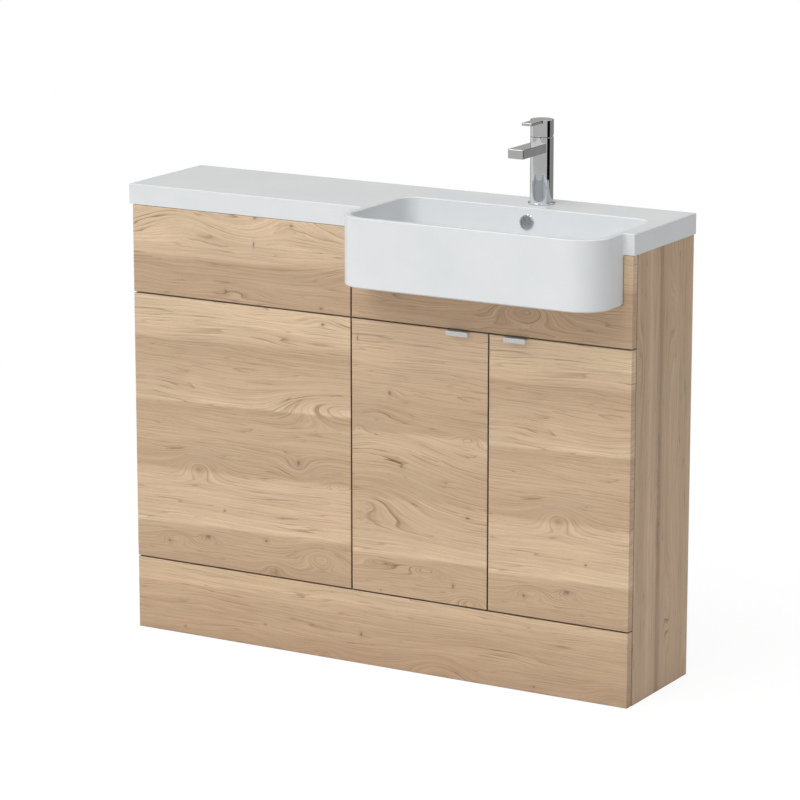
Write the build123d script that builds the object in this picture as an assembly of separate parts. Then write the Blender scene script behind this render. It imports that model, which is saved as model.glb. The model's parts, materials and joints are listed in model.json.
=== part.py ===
from build123d import *
import math
import os

os.makedirs("parts", exist_ok=True)

# A fitted bathroom combination: a toilet unit on the left and a vanity unit on the right,
# under one cast top with a semi-recessed basin and a single-lever tap.
# Millimetres, +Z up, the fronts face -Y, and the origin is the middle of the
# footprint of the whole outline, on the floor.

# Cabinet outline
wc_width = 500.0
vanity_width = 600.0
cabinet_depth = 255.0
cabinet_height = 864.0
wall_gap = 5.0
front_board = 18.0
carcass_board = 15.0
front_inset = 0.5
joint_gap = 3.0
door_stand_off = 2.0
plinth_height = 146.0
plinth_inset = 1.0
upper_front_height = 173.7
fascia_top_gap = 1.0
edge_ease = 0.8

# Carcass rails
upright_rail_height = 80.0
flat_rail_depth = 80.0
cam_radius = 7.5
cam_depth = 12.0
cam_setback = 34.0
cam_bolt_radius = 3.0
cam_bolt_grip = 10.0

# Cast top
top_thickness = 40.0
top_depth = 259.0
top_overhang_left = 8.5
top_overhang_right = 1.5
top_skin = 14.0
top_skirt = 15.0
top_rib = 12.0
top_corner_ease = 1.6
top_edge_ease = 1.2

# Basin
basin_projection = 109.0
basin_height = 134.0
basin_left_clearance = 9.5
basin_right_clearance = 5.5
basin_front_radius = 60.0
basin_back_radius = 45.0
basin_edge_ease = 2.5
basin_blend_radius = 8.0
rim_wall = 13.0
rim_edge_ease = 1.6
back_wall = 14.0
tap_ledge = 109.0
bowl_back_radius = 35.0
bowl_draft = 3.0
bowl_bottom = 22.0
bowl_floor_radius = 24.0
fascia_notch_gap = 1.0

# Overflow
overflow_drop = 28.0
overflow_hole_radius = 12.0
overflow_ring_radius = 15.5
overflow_ring_height = 2.4
overflow_mouth_radius = 11.0
overflow_sleeve = 9.0
overflow_grille_recess = 2.0
overflow_grille_thickness = 1.5
overflow_slot_width = 2.0
overflow_slot_margin = 2.5
overflow_channel_width = 30.0
overflow_channel_depth = 10.0
overflow_channel_floor = 9.0
overflow_channel_wall = 5.0

# Basin waste
waste_from_bowl_back = 67.0
waste_hole_radius = 22.5
waste_flange_radius = 31.5
waste_flange_height = 3.0
waste_flange_recess = 2.0
waste_tail_radius = 20.955
waste_tail_bore = 18.0
waste_tail_below = 46.0
waste_slot_width = 14.0
waste_seat_clearance = 0.5
waste_spoke_width = 2.4
waste_spoke_height = 4.0
washer_height = 4.0
waste_nut_height = 9.0
waste_nut_radius = 29.0
thread_clearance = 0.05
plug_radius = 23.0
plug_height = 4.0
plug_stem_radius = 4.0
plug_guide_height = 12.0
plug_guide_radius = 7.0
plug_rest_gap = 0.3
plug_rise = 8.0
running_clearance = 0.05

# Tap
tap_from_wall = 52.0
tap_radius = 22.4
tap_body_height = 125.7
tap_edge_ease = 0.5
tap_base_radius = 26.5
tap_base_height = 3.0
tap_gasket_height = 0.6
tap_gasket_radius = 25.5
spout_reach = 109.0
spout_width = 34.0
spout_height = 17.6
spout_top = 115.0
spout_corner_radius = 5.0
aerator_radius = 9.0
aerator_setback = 15.0
aerator_depth = 7.0
aerator_lip = 1.5
cartridge_radius = 17.3
cartridge_clearance = 0.2
cartridge_height = 38.0
cartridge_below_pivot = 5.5
dome_radius = 19.0
dome_height = 12.8
dome_taper = 21.0
handle_gap = 1.3
handle_height = 32.0
handle_wall = 2.8
handle_roof = 9.5
handle_boss_radius = 6.5
handle_boss_height = 14.5
lever_length = 64.0
lever_width = 23.0
lever_thickness = 5.0
lever_corner_radius = 4.0
stem_width = 6.0
stem_length = 18.0
stem_clearance = 0.05
pivot_radius = 1.5
spindle_ear = 3.0
spindle_gap = 0.3
spindle_radius = 13.0
spindle_plate = 2.0
spindle_ear_width = 7.0
grub_radius = 1.5
grub_height = 16.5
tilt_max = 20.0
tilt_relief = 1.0
tap_hole_radius = 17.5
stud_radius = 4.0
stud_offset = 8.0
stud_length = 74.0
stud_grip = 15.0
inlet_radius = 4.5
inlet_spacing = 15.0
inlet_offset = 6.0
inlet_depth = 14.0
horseshoe_radius = 24.0
horseshoe_slot = 26.0
clamp_rubber = 3.0
clamp_plate = 2.0
tap_nut_height = 8.0
tap_nut_radius = 7.5

# Doors, handles and hinges
handle_length = 46.0
handle_from_edge = 37.0
handle_reach = 14.0
handle_lip = 8.8
handle_sheet = 1.5
handle_leg = 13.0
handle_rebate = 0.5
handle_screw_spacing = 32.0
hinge_from_end = 100.0
cup_radius = 17.5
cup_from_edge = 22.5
cup_depth = 11.5
cup_wall = 1.0
cup_clearance = 0.1
cup_flange_height = 62.0
cup_flange_width = 22.0
cup_flange_thickness = 1.2
cup_screw_spacing = 48.0
cup_screw_offset = 9.5
link_pivot_x = 34.0
link_pivot_y = 11.0
link_length = 20.5
link_half_width = 2.3
link_height = 6.0
link_pin_radius = 1.5
cheek_thickness = 1.5
cheek_gap = 0.4
cheek_radius = 3.0
arm_width = 10.0
arm_height = 14.0
arm_length = 62.0
arm_start = 8.0
hinge_plate_height = 52.0
hinge_plate_width = 34.0
hinge_plate_setback = 37.0
hinge_plate_thickness = 6.0
hinge_wing_width = 12.0
hinge_wing_ease = 3.0
hinge_screw_spacing = 32.0
bumper_radius = 4.0
bumper_height = 1.7
bumper_inset = 8.0

# Access panel clips
clip_radius = 4.0
clip_base_radius = 9.0
clip_base = 2.0
clip_length = 14.0
clip_clearance = 0.3
clip_block_width = 30.0
clip_block_depth = 20.0
clip_block_height = 26.0
clip_from_side = 50.0

# Screws
screw_radius = 1.75
screw_head_radius = 3.6
screw_head_height = 1.8
screw_length = 13.0
panel_screw_radius = 2.0
panel_screw_length = 27.0
panel_screw_inset = 90.0
connector_radius = 4.0
connector_head_radius = 7.5
connector_head_height = 2.0
connector_inset = 60.0
wall_hole_radius = 3.25
wall_hole_inset = 60.0
hole_clearance = 0.1
pilot_depth = 0.5
fastener_sides = 6
washer_sides = 24
round_sides = 40

# Places worked out from the sizes above
cabinet_width = wc_width + vanity_width
top_length = cabinet_width + top_overhang_left + top_overhang_right
wall_y = (top_depth + basin_projection) / 2
top_front_y = wall_y - top_depth
basin_front_y = top_front_y - basin_projection
back_y = wall_y - wall_gap
front_y = back_y - cabinet_depth
board_back_y = front_y + front_board
carcass_front_y = board_back_y + door_stand_off
left_x = -top_length / 2 + top_overhang_left
joint_x = left_x + wc_width
right_x = joint_x + vanity_width
meeting_x = joint_x + vanity_width / 2
vanity_inner_x = (joint_x + carcass_board, right_x - carcass_board)
lower_front_z = plinth_height + joint_gap
upper_front_top_z = cabinet_height - fascia_top_gap
upper_front_z = upper_front_top_z - upper_front_height
door_top_z = upper_front_z - joint_gap
top_z = cabinet_height + top_thickness
basin_bottom_z = top_z - basin_height
basin_right_x = vanity_inner_x[1] - basin_right_clearance
basin_left_x = vanity_inner_x[0] + basin_left_clearance
bowl_back_y = wall_y - tap_ledge
basin_back_y = bowl_back_y + back_wall
bowl_floor_z = basin_bottom_z + bowl_bottom
tap_x = meeting_x
tap_y = wall_y - tap_from_wall
waste_y = bowl_back_y - waste_from_bowl_back
wc_inner_x = (left_x + carcass_board, joint_x - carcass_board)
rail_front_y = (board_back_y, board_back_y + carcass_board)
rail_back_y = (back_y - carcass_board, back_y)


def block(x, y, z):
    """A box between two values along each axis."""
    size = (x[1] - x[0], y[1] - y[0], z[1] - z[0])
    middle = ((x[0] + x[1]) / 2, (y[0] + y[1]) / 2, (z[0] + z[1]) / 2)
    return Pos(*middle) * Box(*size)


def rod(start, direction, radius, length):
    """A round bar that starts at a point and runs along a direction."""
    bar = Cylinder(radius, length, align=(Align.CENTER, Align.CENTER, Align.MIN))
    return Plane(origin=start, z_dir=direction) * bar


def faceted_rod(start, direction, radius, length, sides=fastener_sides):
    """A bar of few flats, for what repeats many times or is out of sight."""
    return extrude(Plane(origin=start, z_dir=direction) * RegularPolygon(radius, sides), length)


def end_circle(part, axis):
    """The circle at the far end of a round part along an axis."""
    circles = part.edges().filter_by(GeomType.CIRCLE)
    return circles.sort_by(lambda edge: edge.arc_center.dot(Vector(*axis)))[-1]


def upright_edges(part):
    """The edges that run straight up."""
    return part.edges().filter_by(Axis.Z)


def eased_front(x, z, y=(front_y, board_back_y)):
    """A faced board whose front edges are eased all round."""
    board = block(x, y, z)
    return chamfer(board.faces().sort_by(Axis.Y)[0].edges(), edge_ease)


def save(name, shapes):
    """Write one node, made of one solid or of several like ones."""
    if isinstance(shapes, (list, tuple)):
        solids = [solid for shape in shapes for solid in shape.solids()]
        shape = Compound(children=[Solid(solid.wrapped) for solid in solids])
    else:
        solids = shapes.solids()
        shape = solids[0] if len(solids) == 1 else Compound(children=list(solids))
    export_step(shape, f"parts/{name}.step")
    print(name, len(solids))


# Carcass rails, each an x range, a y range, a z range and the face that holds its cams
def rail_ranges():
    """Where each rail and the vanity base lie."""
    high = (cabinet_height - upright_rail_height, cabinet_height)
    low = (plinth_height - upright_rail_height, plinth_height)
    mid = (door_top_z - upright_rail_height, door_top_z)
    flat = (carcass_front_y, carcass_front_y + flat_rail_depth)
    fascia_rail = (upper_front_z, basin_bottom_z - hole_clearance - 1.0)
    base_z = (lower_front_z, lower_front_z + carcass_board)
    foot = (lower_front_z - upright_rail_height, lower_front_z)
    above_base = (base_z[1], base_z[1] + upright_rail_height)
    wide = (plinth_height - upright_rail_height / 2, plinth_height + upright_rail_height)
    return {
        "wc_top_rail": (wc_inner_x, flat, (cabinet_height - carcass_board, cabinet_height), (0, 0, -1)),
        "wc_middle_rail": (wc_inner_x, rail_front_y, mid, (0, 1, 0)),
        "wc_lower_rail": (wc_inner_x, rail_front_y, wide, (0, 1, 0)),
        "wc_wall_rail": (wc_inner_x, rail_back_y, high, (0, -1, 0)),
        "wc_floor_rail": (wc_inner_x, rail_back_y, low, (0, -1, 0)),
        "vanity_fascia_rail": (vanity_inner_x, rail_front_y, fascia_rail, (0, 1, 0)),
        "vanity_plinth_rail": (vanity_inner_x, rail_front_y, foot, (0, 1, 0)),
        "vanity_base": (vanity_inner_x, (carcass_front_y, back_y), base_z, (0, 0, -1)),
        "vanity_wall_rail": (vanity_inner_x, rail_back_y, high, (0, -1, 0)),
        "vanity_floor_rail": (vanity_inner_x, rail_back_y, above_base, (0, -1, 0)),
    }


def cam_places(x, y, z, face):
    """Where the cams of one board sit: on its inner face, near each end."""
    middle = ((y[0] + y[1]) / 2, (z[0] + z[1]) / 2)
    if face[1] > 0:
        spots = [(y[1], middle[1])]
    elif face[1] < 0:
        spots = [(y[0], middle[1])]
    elif y[1] - y[0] > 2 * upright_rail_height:
        third = (y[1] - y[0]) / 4
        spots = [(middle[0] - third, z[0]), (middle[0] + third, z[0])]
    else:
        spots = [(middle[0], z[0])]
    return [(end, sign, spot) for spot in spots for end, sign in ((x[0], 1), (x[1], -1))]


def cam_tools(x, y, z, face):
    """The pocket, disc and bolt of every cam in one board."""
    inward = tuple(-value for value in face)
    pockets, cams, bolts, bolt_holes = [], [], [], []
    for end, sign, (spot_y, spot_z) in cam_places(x, y, z, face):
        centre = (end + sign * cam_setback, spot_y, spot_z)
        half = carcass_board / 2
        deep = (centre[0], spot_y + inward[1] * half, spot_z + inward[2] * half)
        pockets.append(faceted_rod(centre, inward, cam_radius + hole_clearance, cam_depth))
        cam = faceted_rod(centre, inward, cam_radius, cam_depth)
        start = (end - sign * cam_bolt_grip, deep[1], deep[2])
        reach = cam_bolt_grip + cam_setback - cam_radius / 2
        seat = faceted_rod(start, (sign, 0, 0), cam_bolt_radius + hole_clearance, reach + hole_clearance)
        cams.append(cam - seat)
        bolts.append(faceted_rod(start, (sign, 0, 0), cam_bolt_radius, reach))
        bolt_holes.append(seat)
    return pockets, cams, bolts, bolt_holes


def wall_holes(x, y, z):
    """The two holes that screw a wall rail to the wall."""
    middle_z = (z[0] + z[1]) / 2
    spots = (x[0] + wall_hole_inset, x[1] - wall_hole_inset)
    return [rod((spot, y[0], middle_z), (0, 1, 0), wall_hole_radius, carcass_board) for spot in spots]


# Screws that hold the fixed fronts to the rails behind them, as (x, z)
def front_screw_places():
    """Where the screws from the rails into the fixed fronts are."""
    rails = rail_ranges()
    low_z = rails["wc_lower_rail"][2]
    wc_x = (wc_inner_x[0] + panel_screw_inset, wc_inner_x[1] - panel_screw_inset)
    vanity_x = (vanity_inner_x[0] + panel_screw_inset, vanity_inner_x[1] - panel_screw_inset)
    quarter = upright_rail_height / 4
    places = {
        "wc_middle_rail": [(x, rails["wc_middle_rail"][2][1] - quarter) for x in wc_x],
        "wc_lower_rail": [(x, z) for x in wc_x for z in (low_z[0] + quarter, low_z[1] - quarter)],
        "vanity_fascia_rail": [(x, sum(rails["vanity_fascia_rail"][2]) / 2) for x in vanity_x],
        "vanity_plinth_rail": [(x, sum(rails["vanity_plinth_rail"][2]) / 2) for x in vanity_x],
    }
    return places


def front_screw(x, z):
    """A pan-head screw from a rail's back face into the front board."""
    start = (x, rail_front_y[1], z)
    shank = faceted_rod(start, (0, -1, 0), panel_screw_radius, panel_screw_length)
    head = faceted_rod(start, (0, 1, 0), screw_head_radius, screw_head_height)
    return shank + head


def front_screw_hole(x, z):
    """The pilot that the same screw sits in."""
    start = (x, rail_front_y[1], z)
    radius = panel_screw_radius + hole_clearance / 2
    return faceted_rod(start, (0, -1, 0), radius, panel_screw_length + pilot_depth)


def make_carcass():
    """The side boards, rails, base, cams, bolts and the screws of the fixed fronts."""
    rails = rail_ranges()
    side_x = {
        "wc_left_side": (left_x, wc_inner_x[0]),
        "wc_right_side": (wc_inner_x[1], joint_x),
        "vanity_left_side": (joint_x, vanity_inner_x[0]),
        "vanity_right_side": (vanity_inner_x[1], right_x),
    }
    sides = {name: block(x, (carcass_front_y, back_y), (0, cabinet_height)) for name, x in side_x.items()}
    screws = front_screw_places()
    cams, bolts = [], []
    for name, (x, y, z, face) in rails.items():
        pockets, rail_cams, rail_bolts, bolt_holes = cam_tools(x, y, z, face)
        rail = block(x, y, z) - pockets - bolt_holes
        if name.endswith("wall_rail"):
            rail -= wall_holes(x, y, z)
        for spot in screws.get(name, []):
            rail -= front_screw_hole(*spot)
        save(name, rail)
        cams += rail_cams
        bolts += rail_bolts
        for side_name in sides:
            if side_name.split("_")[0] == name.split("_")[0]:
                sides[side_name] -= bolt_holes
    connectors = connector_places()
    for spot in connectors:
        hole = faceted_rod((joint_x - carcass_board, *spot), (1, 0, 0), connector_radius, 2 * carcass_board)
        sides["wc_right_side"] -= hole
        sides["vanity_left_side"] -= hole
    for side_name, place in (("vanity_left_side", "left"), ("vanity_right_side", "right")):
        for z in hinge_heights():
            sides[side_name] -= hinge_plate_holes(place, z)
    for side_name, side in sides.items():
        save(side_name, side)
    save("cam_locks", cams)
    save("cam_bolts", bolts)
    save("front_panel_screws", [front_screw(*spot) for spots in screws.values() for spot in spots])
    save("unit_connectors", [connector(*spot) for spot in connectors])


def connector_places():
    """Where the two units are bolted side by side, as (y, z)."""
    y = (carcass_front_y + connector_inset, back_y - connector_inset)
    z = (plinth_height / 2, cabinet_height - 2 * connector_inset)
    return [(one, other) for one in y for other in z]


def connector(y, z):
    """A sleeve connector through the two touching side boards."""
    start = (joint_x - carcass_board, y, z)
    end = (joint_x + carcass_board, y, z)
    sleeve = faceted_rod(start, (1, 0, 0), connector_radius - hole_clearance, 2 * carcass_board)
    head_left = faceted_rod(start, (-1, 0, 0), connector_head_radius, connector_head_height)
    head_right = faceted_rod(end, (1, 0, 0), connector_head_radius, connector_head_height)
    return sleeve + head_left + head_right


def make_fixed_fronts():
    """The toilet unit's lower panel, the notched fascia and the one-piece plinth."""
    screws = front_screw_places()
    lower = eased_front((left_x + front_inset, joint_x - joint_gap / 2), (lower_front_z, door_top_z))
    fascia_x = (joint_x + joint_gap / 2, right_x - front_inset)
    fascia = eased_front(fascia_x, (upper_front_z, upper_front_top_z))
    notch = block(
        (basin_left_x - fascia_notch_gap, basin_right_x + fascia_notch_gap),
        (front_y - 1, board_back_y + 1),
        (basin_bottom_z - fascia_notch_gap, cabinet_height),
    )
    low_corners = notch.edges().filter_by(Axis.Y).group_by(Axis.Z)[0]
    fascia -= fillet(low_corners, basin_edge_ease)
    plinth = eased_front((left_x + plinth_inset, right_x - plinth_inset), (0, plinth_height))
    for spot in screws["wc_middle_rail"]:
        lower -= front_screw_hole(*spot)
    for spot in screws["wc_lower_rail"]:
        if spot[1] > lower_front_z:
            lower -= front_screw_hole(*spot)
        else:
            plinth -= front_screw_hole(*spot)
    for spot in screws["vanity_plinth_rail"]:
        plinth -= front_screw_hole(*spot)
    for spot in screws["vanity_fascia_rail"]:
        fascia -= front_screw_hole(*spot)
    save("wc_lower_panel", lower)
    save("vanity_fascia", fascia)
    save("plinth", plinth)


# The access panel is held by four studs on its back, pushed into sockets on the rails
def clip_places():
    """Where the clips are, as (x, z, block base z)."""
    x = (wc_inner_x[0] + clip_from_side, wc_inner_x[1] - clip_from_side)
    low = (door_top_z, door_top_z + clip_block_height)
    high_top = cabinet_height - carcass_board
    high = (high_top - clip_block_height, high_top)
    return [(one, block_z) for one in x for block_z in (low, high)]


def make_access_panel():
    """The push-fit upper panel of the toilet unit, its studs and their sockets."""
    panel = eased_front((left_x + front_inset, joint_x - joint_gap / 2), (upper_front_z, upper_front_top_z))
    studs, sockets, stud_screws = [], [], []
    for x, block_z in clip_places():
        z = sum(block_z) / 2
        base_start = (x, board_back_y, z)
        stud_start = (x, board_back_y + clip_base, z)
        stud = faceted_rod(stud_start, (0, 1, 0), clip_radius, clip_length)
        stud = chamfer(stud.faces().sort_by(Axis.Y)[-1].edges(), clip_radius / 3)
        stud += faceted_rod(base_start, (0, 1, 0), clip_base_radius, clip_base)
        pilot = faceted_rod(base_start, (0, -1, 0), screw_radius, screw_length)
        studs.append(stud + pilot)
        pilot_radius = screw_radius + hole_clearance / 2
        panel -= faceted_rod(base_start, (0, -1, 0), pilot_radius, screw_length + pilot_depth)
        socket_y = board_back_y + clip_base + clip_clearance
        body_x = (x - clip_block_width / 2, x + clip_block_width / 2)
        body = block(body_x, (socket_y, socket_y + clip_block_depth), block_z)
        bore = faceted_rod((x, socket_y, z), (0, 1, 0), clip_radius + clip_clearance, clip_block_depth)
        sockets.append(body - bore)
    save("access_panel", panel)
    save("access_panel_clips", studs)
    save("clip_sockets", sockets)


def basin_outline(radius_front, radius_back, x, y):
    """A rectangle with large front corners and smaller back corners."""
    width, depth = x[1] - x[0], y[1] - y[0]
    outline = Pos((x[0] + x[1]) / 2, (y[0] + y[1]) / 2) * Rectangle(width, depth)
    corners = outline.vertices().group_by(Axis.Y)
    outline = fillet(corners[0], radius_front)
    corners = [v for v in outline.vertices() if v.Y > y[1] - 0.001]
    return fillet(corners, radius_back)


def bowl_wall_y(z):
    """Where the drafted back wall of the bowl stands at one height."""
    return bowl_back_y - (top_z - z) * math.tan(math.radians(bowl_draft))


def make_top():
    """The cast top: slab, basin shell, bowl, waste and overflow ways, hollow underside."""
    basin_x = (basin_left_x, basin_right_x)
    plan = basin_outline(basin_front_radius, basin_back_radius, basin_x, (basin_front_y, basin_back_y))
    shell = extrude(Pos(0, 0, basin_bottom_z) * plan, basin_height)
    shell = chamfer(shell.faces().sort_by(Axis.Z)[0].edges(), basin_edge_ease)
    channel_half = overflow_channel_width / 2
    boss_half = channel_half + overflow_channel_wall
    boss_back_y = basin_back_y + overflow_channel_depth + overflow_channel_wall
    boss = block(
        (tap_x - boss_half, tap_x + boss_half),
        (basin_back_y - back_wall / 2, boss_back_y),
        (basin_bottom_z, cabinet_height + 1),
    )
    boss = chamfer(upright_edges(boss).group_by(Axis.Y)[-1], overflow_channel_wall - 1)
    slab = block((-top_length / 2, top_length / 2), (top_front_y, wall_y), (cabinet_height, top_z))
    slab = chamfer(upright_edges(slab).group_by(Axis.Y)[0], top_corner_ease)
    top = slab + shell
    inner_corners = [
        edge
        for edge in upright_edges(top)
        if abs(edge.center().Y - top_front_y) < 0.01
        and min(abs(edge.center().X - basin_left_x), abs(edge.center().X - basin_right_x)) < 0.01
    ]
    top = fillet(inner_corners, basin_blend_radius)
    top = chamfer(top.faces().sort_by(Axis.Z)[-1].edges(), top_edge_ease)

    mouth = basin_outline(
        basin_front_radius - rim_wall,
        bowl_back_radius,
        (basin_left_x + rim_wall, basin_right_x - rim_wall),
        (basin_front_y + rim_wall, bowl_back_y),
    )
    bowl = extrude(Pos(0, 0, top_z) * mouth, -(top_z - bowl_floor_z), taper=bowl_draft)
    bowl = fillet(bowl.faces().sort_by(Axis.Z)[0].edges(), bowl_floor_radius)
    top -= bowl
    rim = [
        edge
        for edge in top.faces().sort_by(Axis.Z)[-1].edges()
        if basin_left_x + rim_wall - 0.01 < edge.center().X < basin_right_x - rim_wall + 0.01
        and basin_front_y + rim_wall - 0.01 < edge.center().Y < bowl_back_y + 0.01
    ]
    top = chamfer(rim, rim_edge_ease)

    top -= underside_pockets(boss_back_y)
    top += boss
    top -= tap_deck_hole()
    top -= waste_and_overflow_ways()
    save("worktop_basin", top)


def underside_pockets(boss_back_y):
    """The hollows that lighten the slab: two beside the basin and one under the tap ledge."""
    under = (cabinet_height - 1, top_z - top_skin)
    left = (-top_length / 2 + top_skirt + carcass_board, basin_left_x - 2 * carcass_board - top_rib)
    front = top_front_y + top_skirt + front_board
    middle = (front + wall_y - top_skirt) / 2
    ledge_x = (basin_left_x + top_skirt, basin_right_x - top_skirt)
    ledge_y = (max(boss_back_y, basin_back_y + top_rib), wall_y - top_skirt - carcass_board / 2)
    pockets = [
        block(left, (front, middle - top_rib / 2), under),
        block(left, (middle + top_rib / 2, wall_y - top_skirt), under),
        block(ledge_x, ledge_y, under),
    ]
    return pockets


def tap_deck_hole():
    """The hole through the tap ledge."""
    return rod((tap_x, tap_y, cabinet_height), (0, 0, 1), tap_hole_radius, top_thickness + 1)


def waste_and_overflow_ways():
    """The waste hole, its seat and dish, the overflow hole and the cast channel between them."""
    hole = rod((tap_x, waste_y, basin_bottom_z - 1), (0, 0, 1), waste_hole_radius, bowl_bottom + 2)
    seat_z = bowl_floor_z - waste_flange_recess
    seat = rod((tap_x, waste_y, seat_z), (0, 0, 1), waste_flange_radius + waste_seat_clearance, bowl_bottom)
    wall = bowl_wall_y(top_z - overflow_drop)
    inlet = rod(
        (tap_x, wall - 2, top_z - overflow_drop),
        (0, 1, 0),
        overflow_hole_radius,
        basin_back_y + overflow_channel_depth / 2 - wall + 2,
    )
    channel_x = (tap_x - overflow_channel_width / 2, tap_x + overflow_channel_width / 2)
    floor_z = basin_bottom_z + overflow_channel_wall
    drop = block(
        channel_x,
        (basin_back_y, basin_back_y + overflow_channel_depth),
        (floor_z, top_z - overflow_drop + overflow_hole_radius),
    )
    run = block(
        channel_x,
        (waste_y + waste_hole_radius / 2, basin_back_y + overflow_channel_depth),
        (floor_z, floor_z + overflow_channel_floor),
    )
    return [hole, seat, inlet, drop + run]


def make_overflow():
    """The chrome overflow ring and the slotted disc recessed in it."""
    draft = math.radians(bowl_draft)
    facing = (0, -math.cos(draft), math.sin(draft))
    back = (0, math.cos(draft), -math.sin(draft))
    height = top_z - overflow_drop
    centre = (tap_x, bowl_wall_y(height), height)
    rim = rod(centre, facing, overflow_ring_radius, overflow_ring_height)
    rim = chamfer(end_circle(rim, facing), overflow_ring_height / 2)
    sleeve_radius = overflow_hole_radius - hole_clearance
    sleeve = faceted_rod(centre, (0, 1, 0), sleeve_radius, overflow_sleeve, round_sides)
    ring = rim + sleeve
    top_point = tuple(c + f * overflow_ring_height for c, f in zip(centre, facing))
    ring -= rod(top_point, back, overflow_mouth_radius, 3 * overflow_sleeve)
    disc_start = tuple(c + b * (overflow_grille_recess - overflow_ring_height) for c, b in zip(centre, back))
    disc = rod(disc_start, back, overflow_mouth_radius - hole_clearance, overflow_grille_thickness)
    plane = Plane(origin=disc_start, z_dir=back)
    for row in (-2, -1, 0, 1, 2):
        across = row * 2 * overflow_slot_width
        span = 2 * math.sqrt((overflow_mouth_radius - overflow_slot_margin) ** 2 - across**2)
        slot = Box(overflow_slot_width, span, 3 * overflow_grille_thickness)
        disc -= plane * Pos(across, 0, 0) * slot
    save("overflow_ring", ring)
    save("overflow_grille", disc)


def make_waste():
    """The push-button basin waste: body, plug, rubber washer and back nut."""
    floor = bowl_floor_z - waste_flange_recess
    bottom = basin_bottom_z - waste_tail_below
    up, axis = (0, 0, 1), (tap_x, waste_y)
    flange = rod((*axis, floor), up, waste_flange_radius, waste_flange_height)
    flange = chamfer(end_circle(flange, (0, 0, 1)), waste_flange_height * 0.6)
    body = flange + rod((*axis, bottom), up, waste_tail_radius, floor - bottom)
    bore_length = floor - bottom + waste_flange_height
    body -= faceted_rod((*axis, bottom), up, waste_tail_bore, bore_length, round_sides)
    guide_z = basin_bottom_z - plug_guide_height
    hub = faceted_rod((*axis, guide_z), up, plug_guide_radius, plug_guide_height)
    for turn in (0, 60, 120):
        spoke = Box(2 * waste_tail_bore + 1, waste_spoke_width, waste_spoke_height)
        hub += Pos(tap_x, waste_y, guide_z + waste_spoke_height / 2) * Rot(0, 0, turn) * spoke
    body += hub
    body -= rod((*axis, guide_z - 1), up, plug_stem_radius + running_clearance, plug_guide_height + 2)
    slot_z = basin_bottom_z + overflow_channel_wall + overflow_channel_floor / 2
    for turn in (0, 90):
        slot = Box(3 * waste_tail_radius, waste_slot_width, overflow_channel_floor - 1)
        body -= Pos(tap_x, waste_y, slot_z) * Rot(0, 0, turn) * slot
    save("waste_body", body)

    plug_z = floor + waste_flange_height + plug_rest_gap
    cap = rod((*axis, plug_z), up, plug_radius, plug_height)
    cap = chamfer(end_circle(cap, (0, 0, 1)), plug_height * 0.6)
    stem_z = guide_z - plug_rise
    plug = cap + rod((*axis, stem_z), up, plug_stem_radius, plug_z - stem_z)
    save("waste_plug", plug)

    down = (0, 0, -1)
    washer = faceted_rod((*axis, basin_bottom_z), down, waste_nut_radius, washer_height, washer_sides)
    washer -= rod((*axis, basin_bottom_z), down, waste_tail_radius, washer_height)
    save("waste_washer", washer)
    nut_z = basin_bottom_z - washer_height - waste_nut_height
    nut = extrude(Pos(tap_x, waste_y, nut_z) * RegularPolygon(waste_nut_radius, 8), waste_nut_height)
    nut -= rod((*axis, nut_z), up, waste_tail_radius + thread_clearance, waste_nut_height)
    save("waste_back_nut", nut)


# The tap's levels
tap_base_z = top_z
tap_body_z = top_z + tap_base_height
tap_body_top_z = tap_body_z + tap_body_height
handle_z = tap_body_top_z + handle_gap
handle_top_z = handle_z + handle_height
spout_top_z = tap_body_z + spout_top
spout_bottom_z = spout_top_z - spout_height
cartridge_top_z = handle_z - cartridge_below_pivot
cartridge_z = cartridge_top_z - cartridge_height


def flat_bar(reach, width, corner, z):
    """A flat bar from the tap's axis forwards, with rounded front corners."""
    outline = Pos(tap_x, tap_y - reach / 2) * Rectangle(width, reach)
    outline = fillet(outline.vertices().group_by(Axis.Y)[0], corner)
    return extrude(Pos(0, 0, z[0]) * outline, z[1] - z[0])


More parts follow.
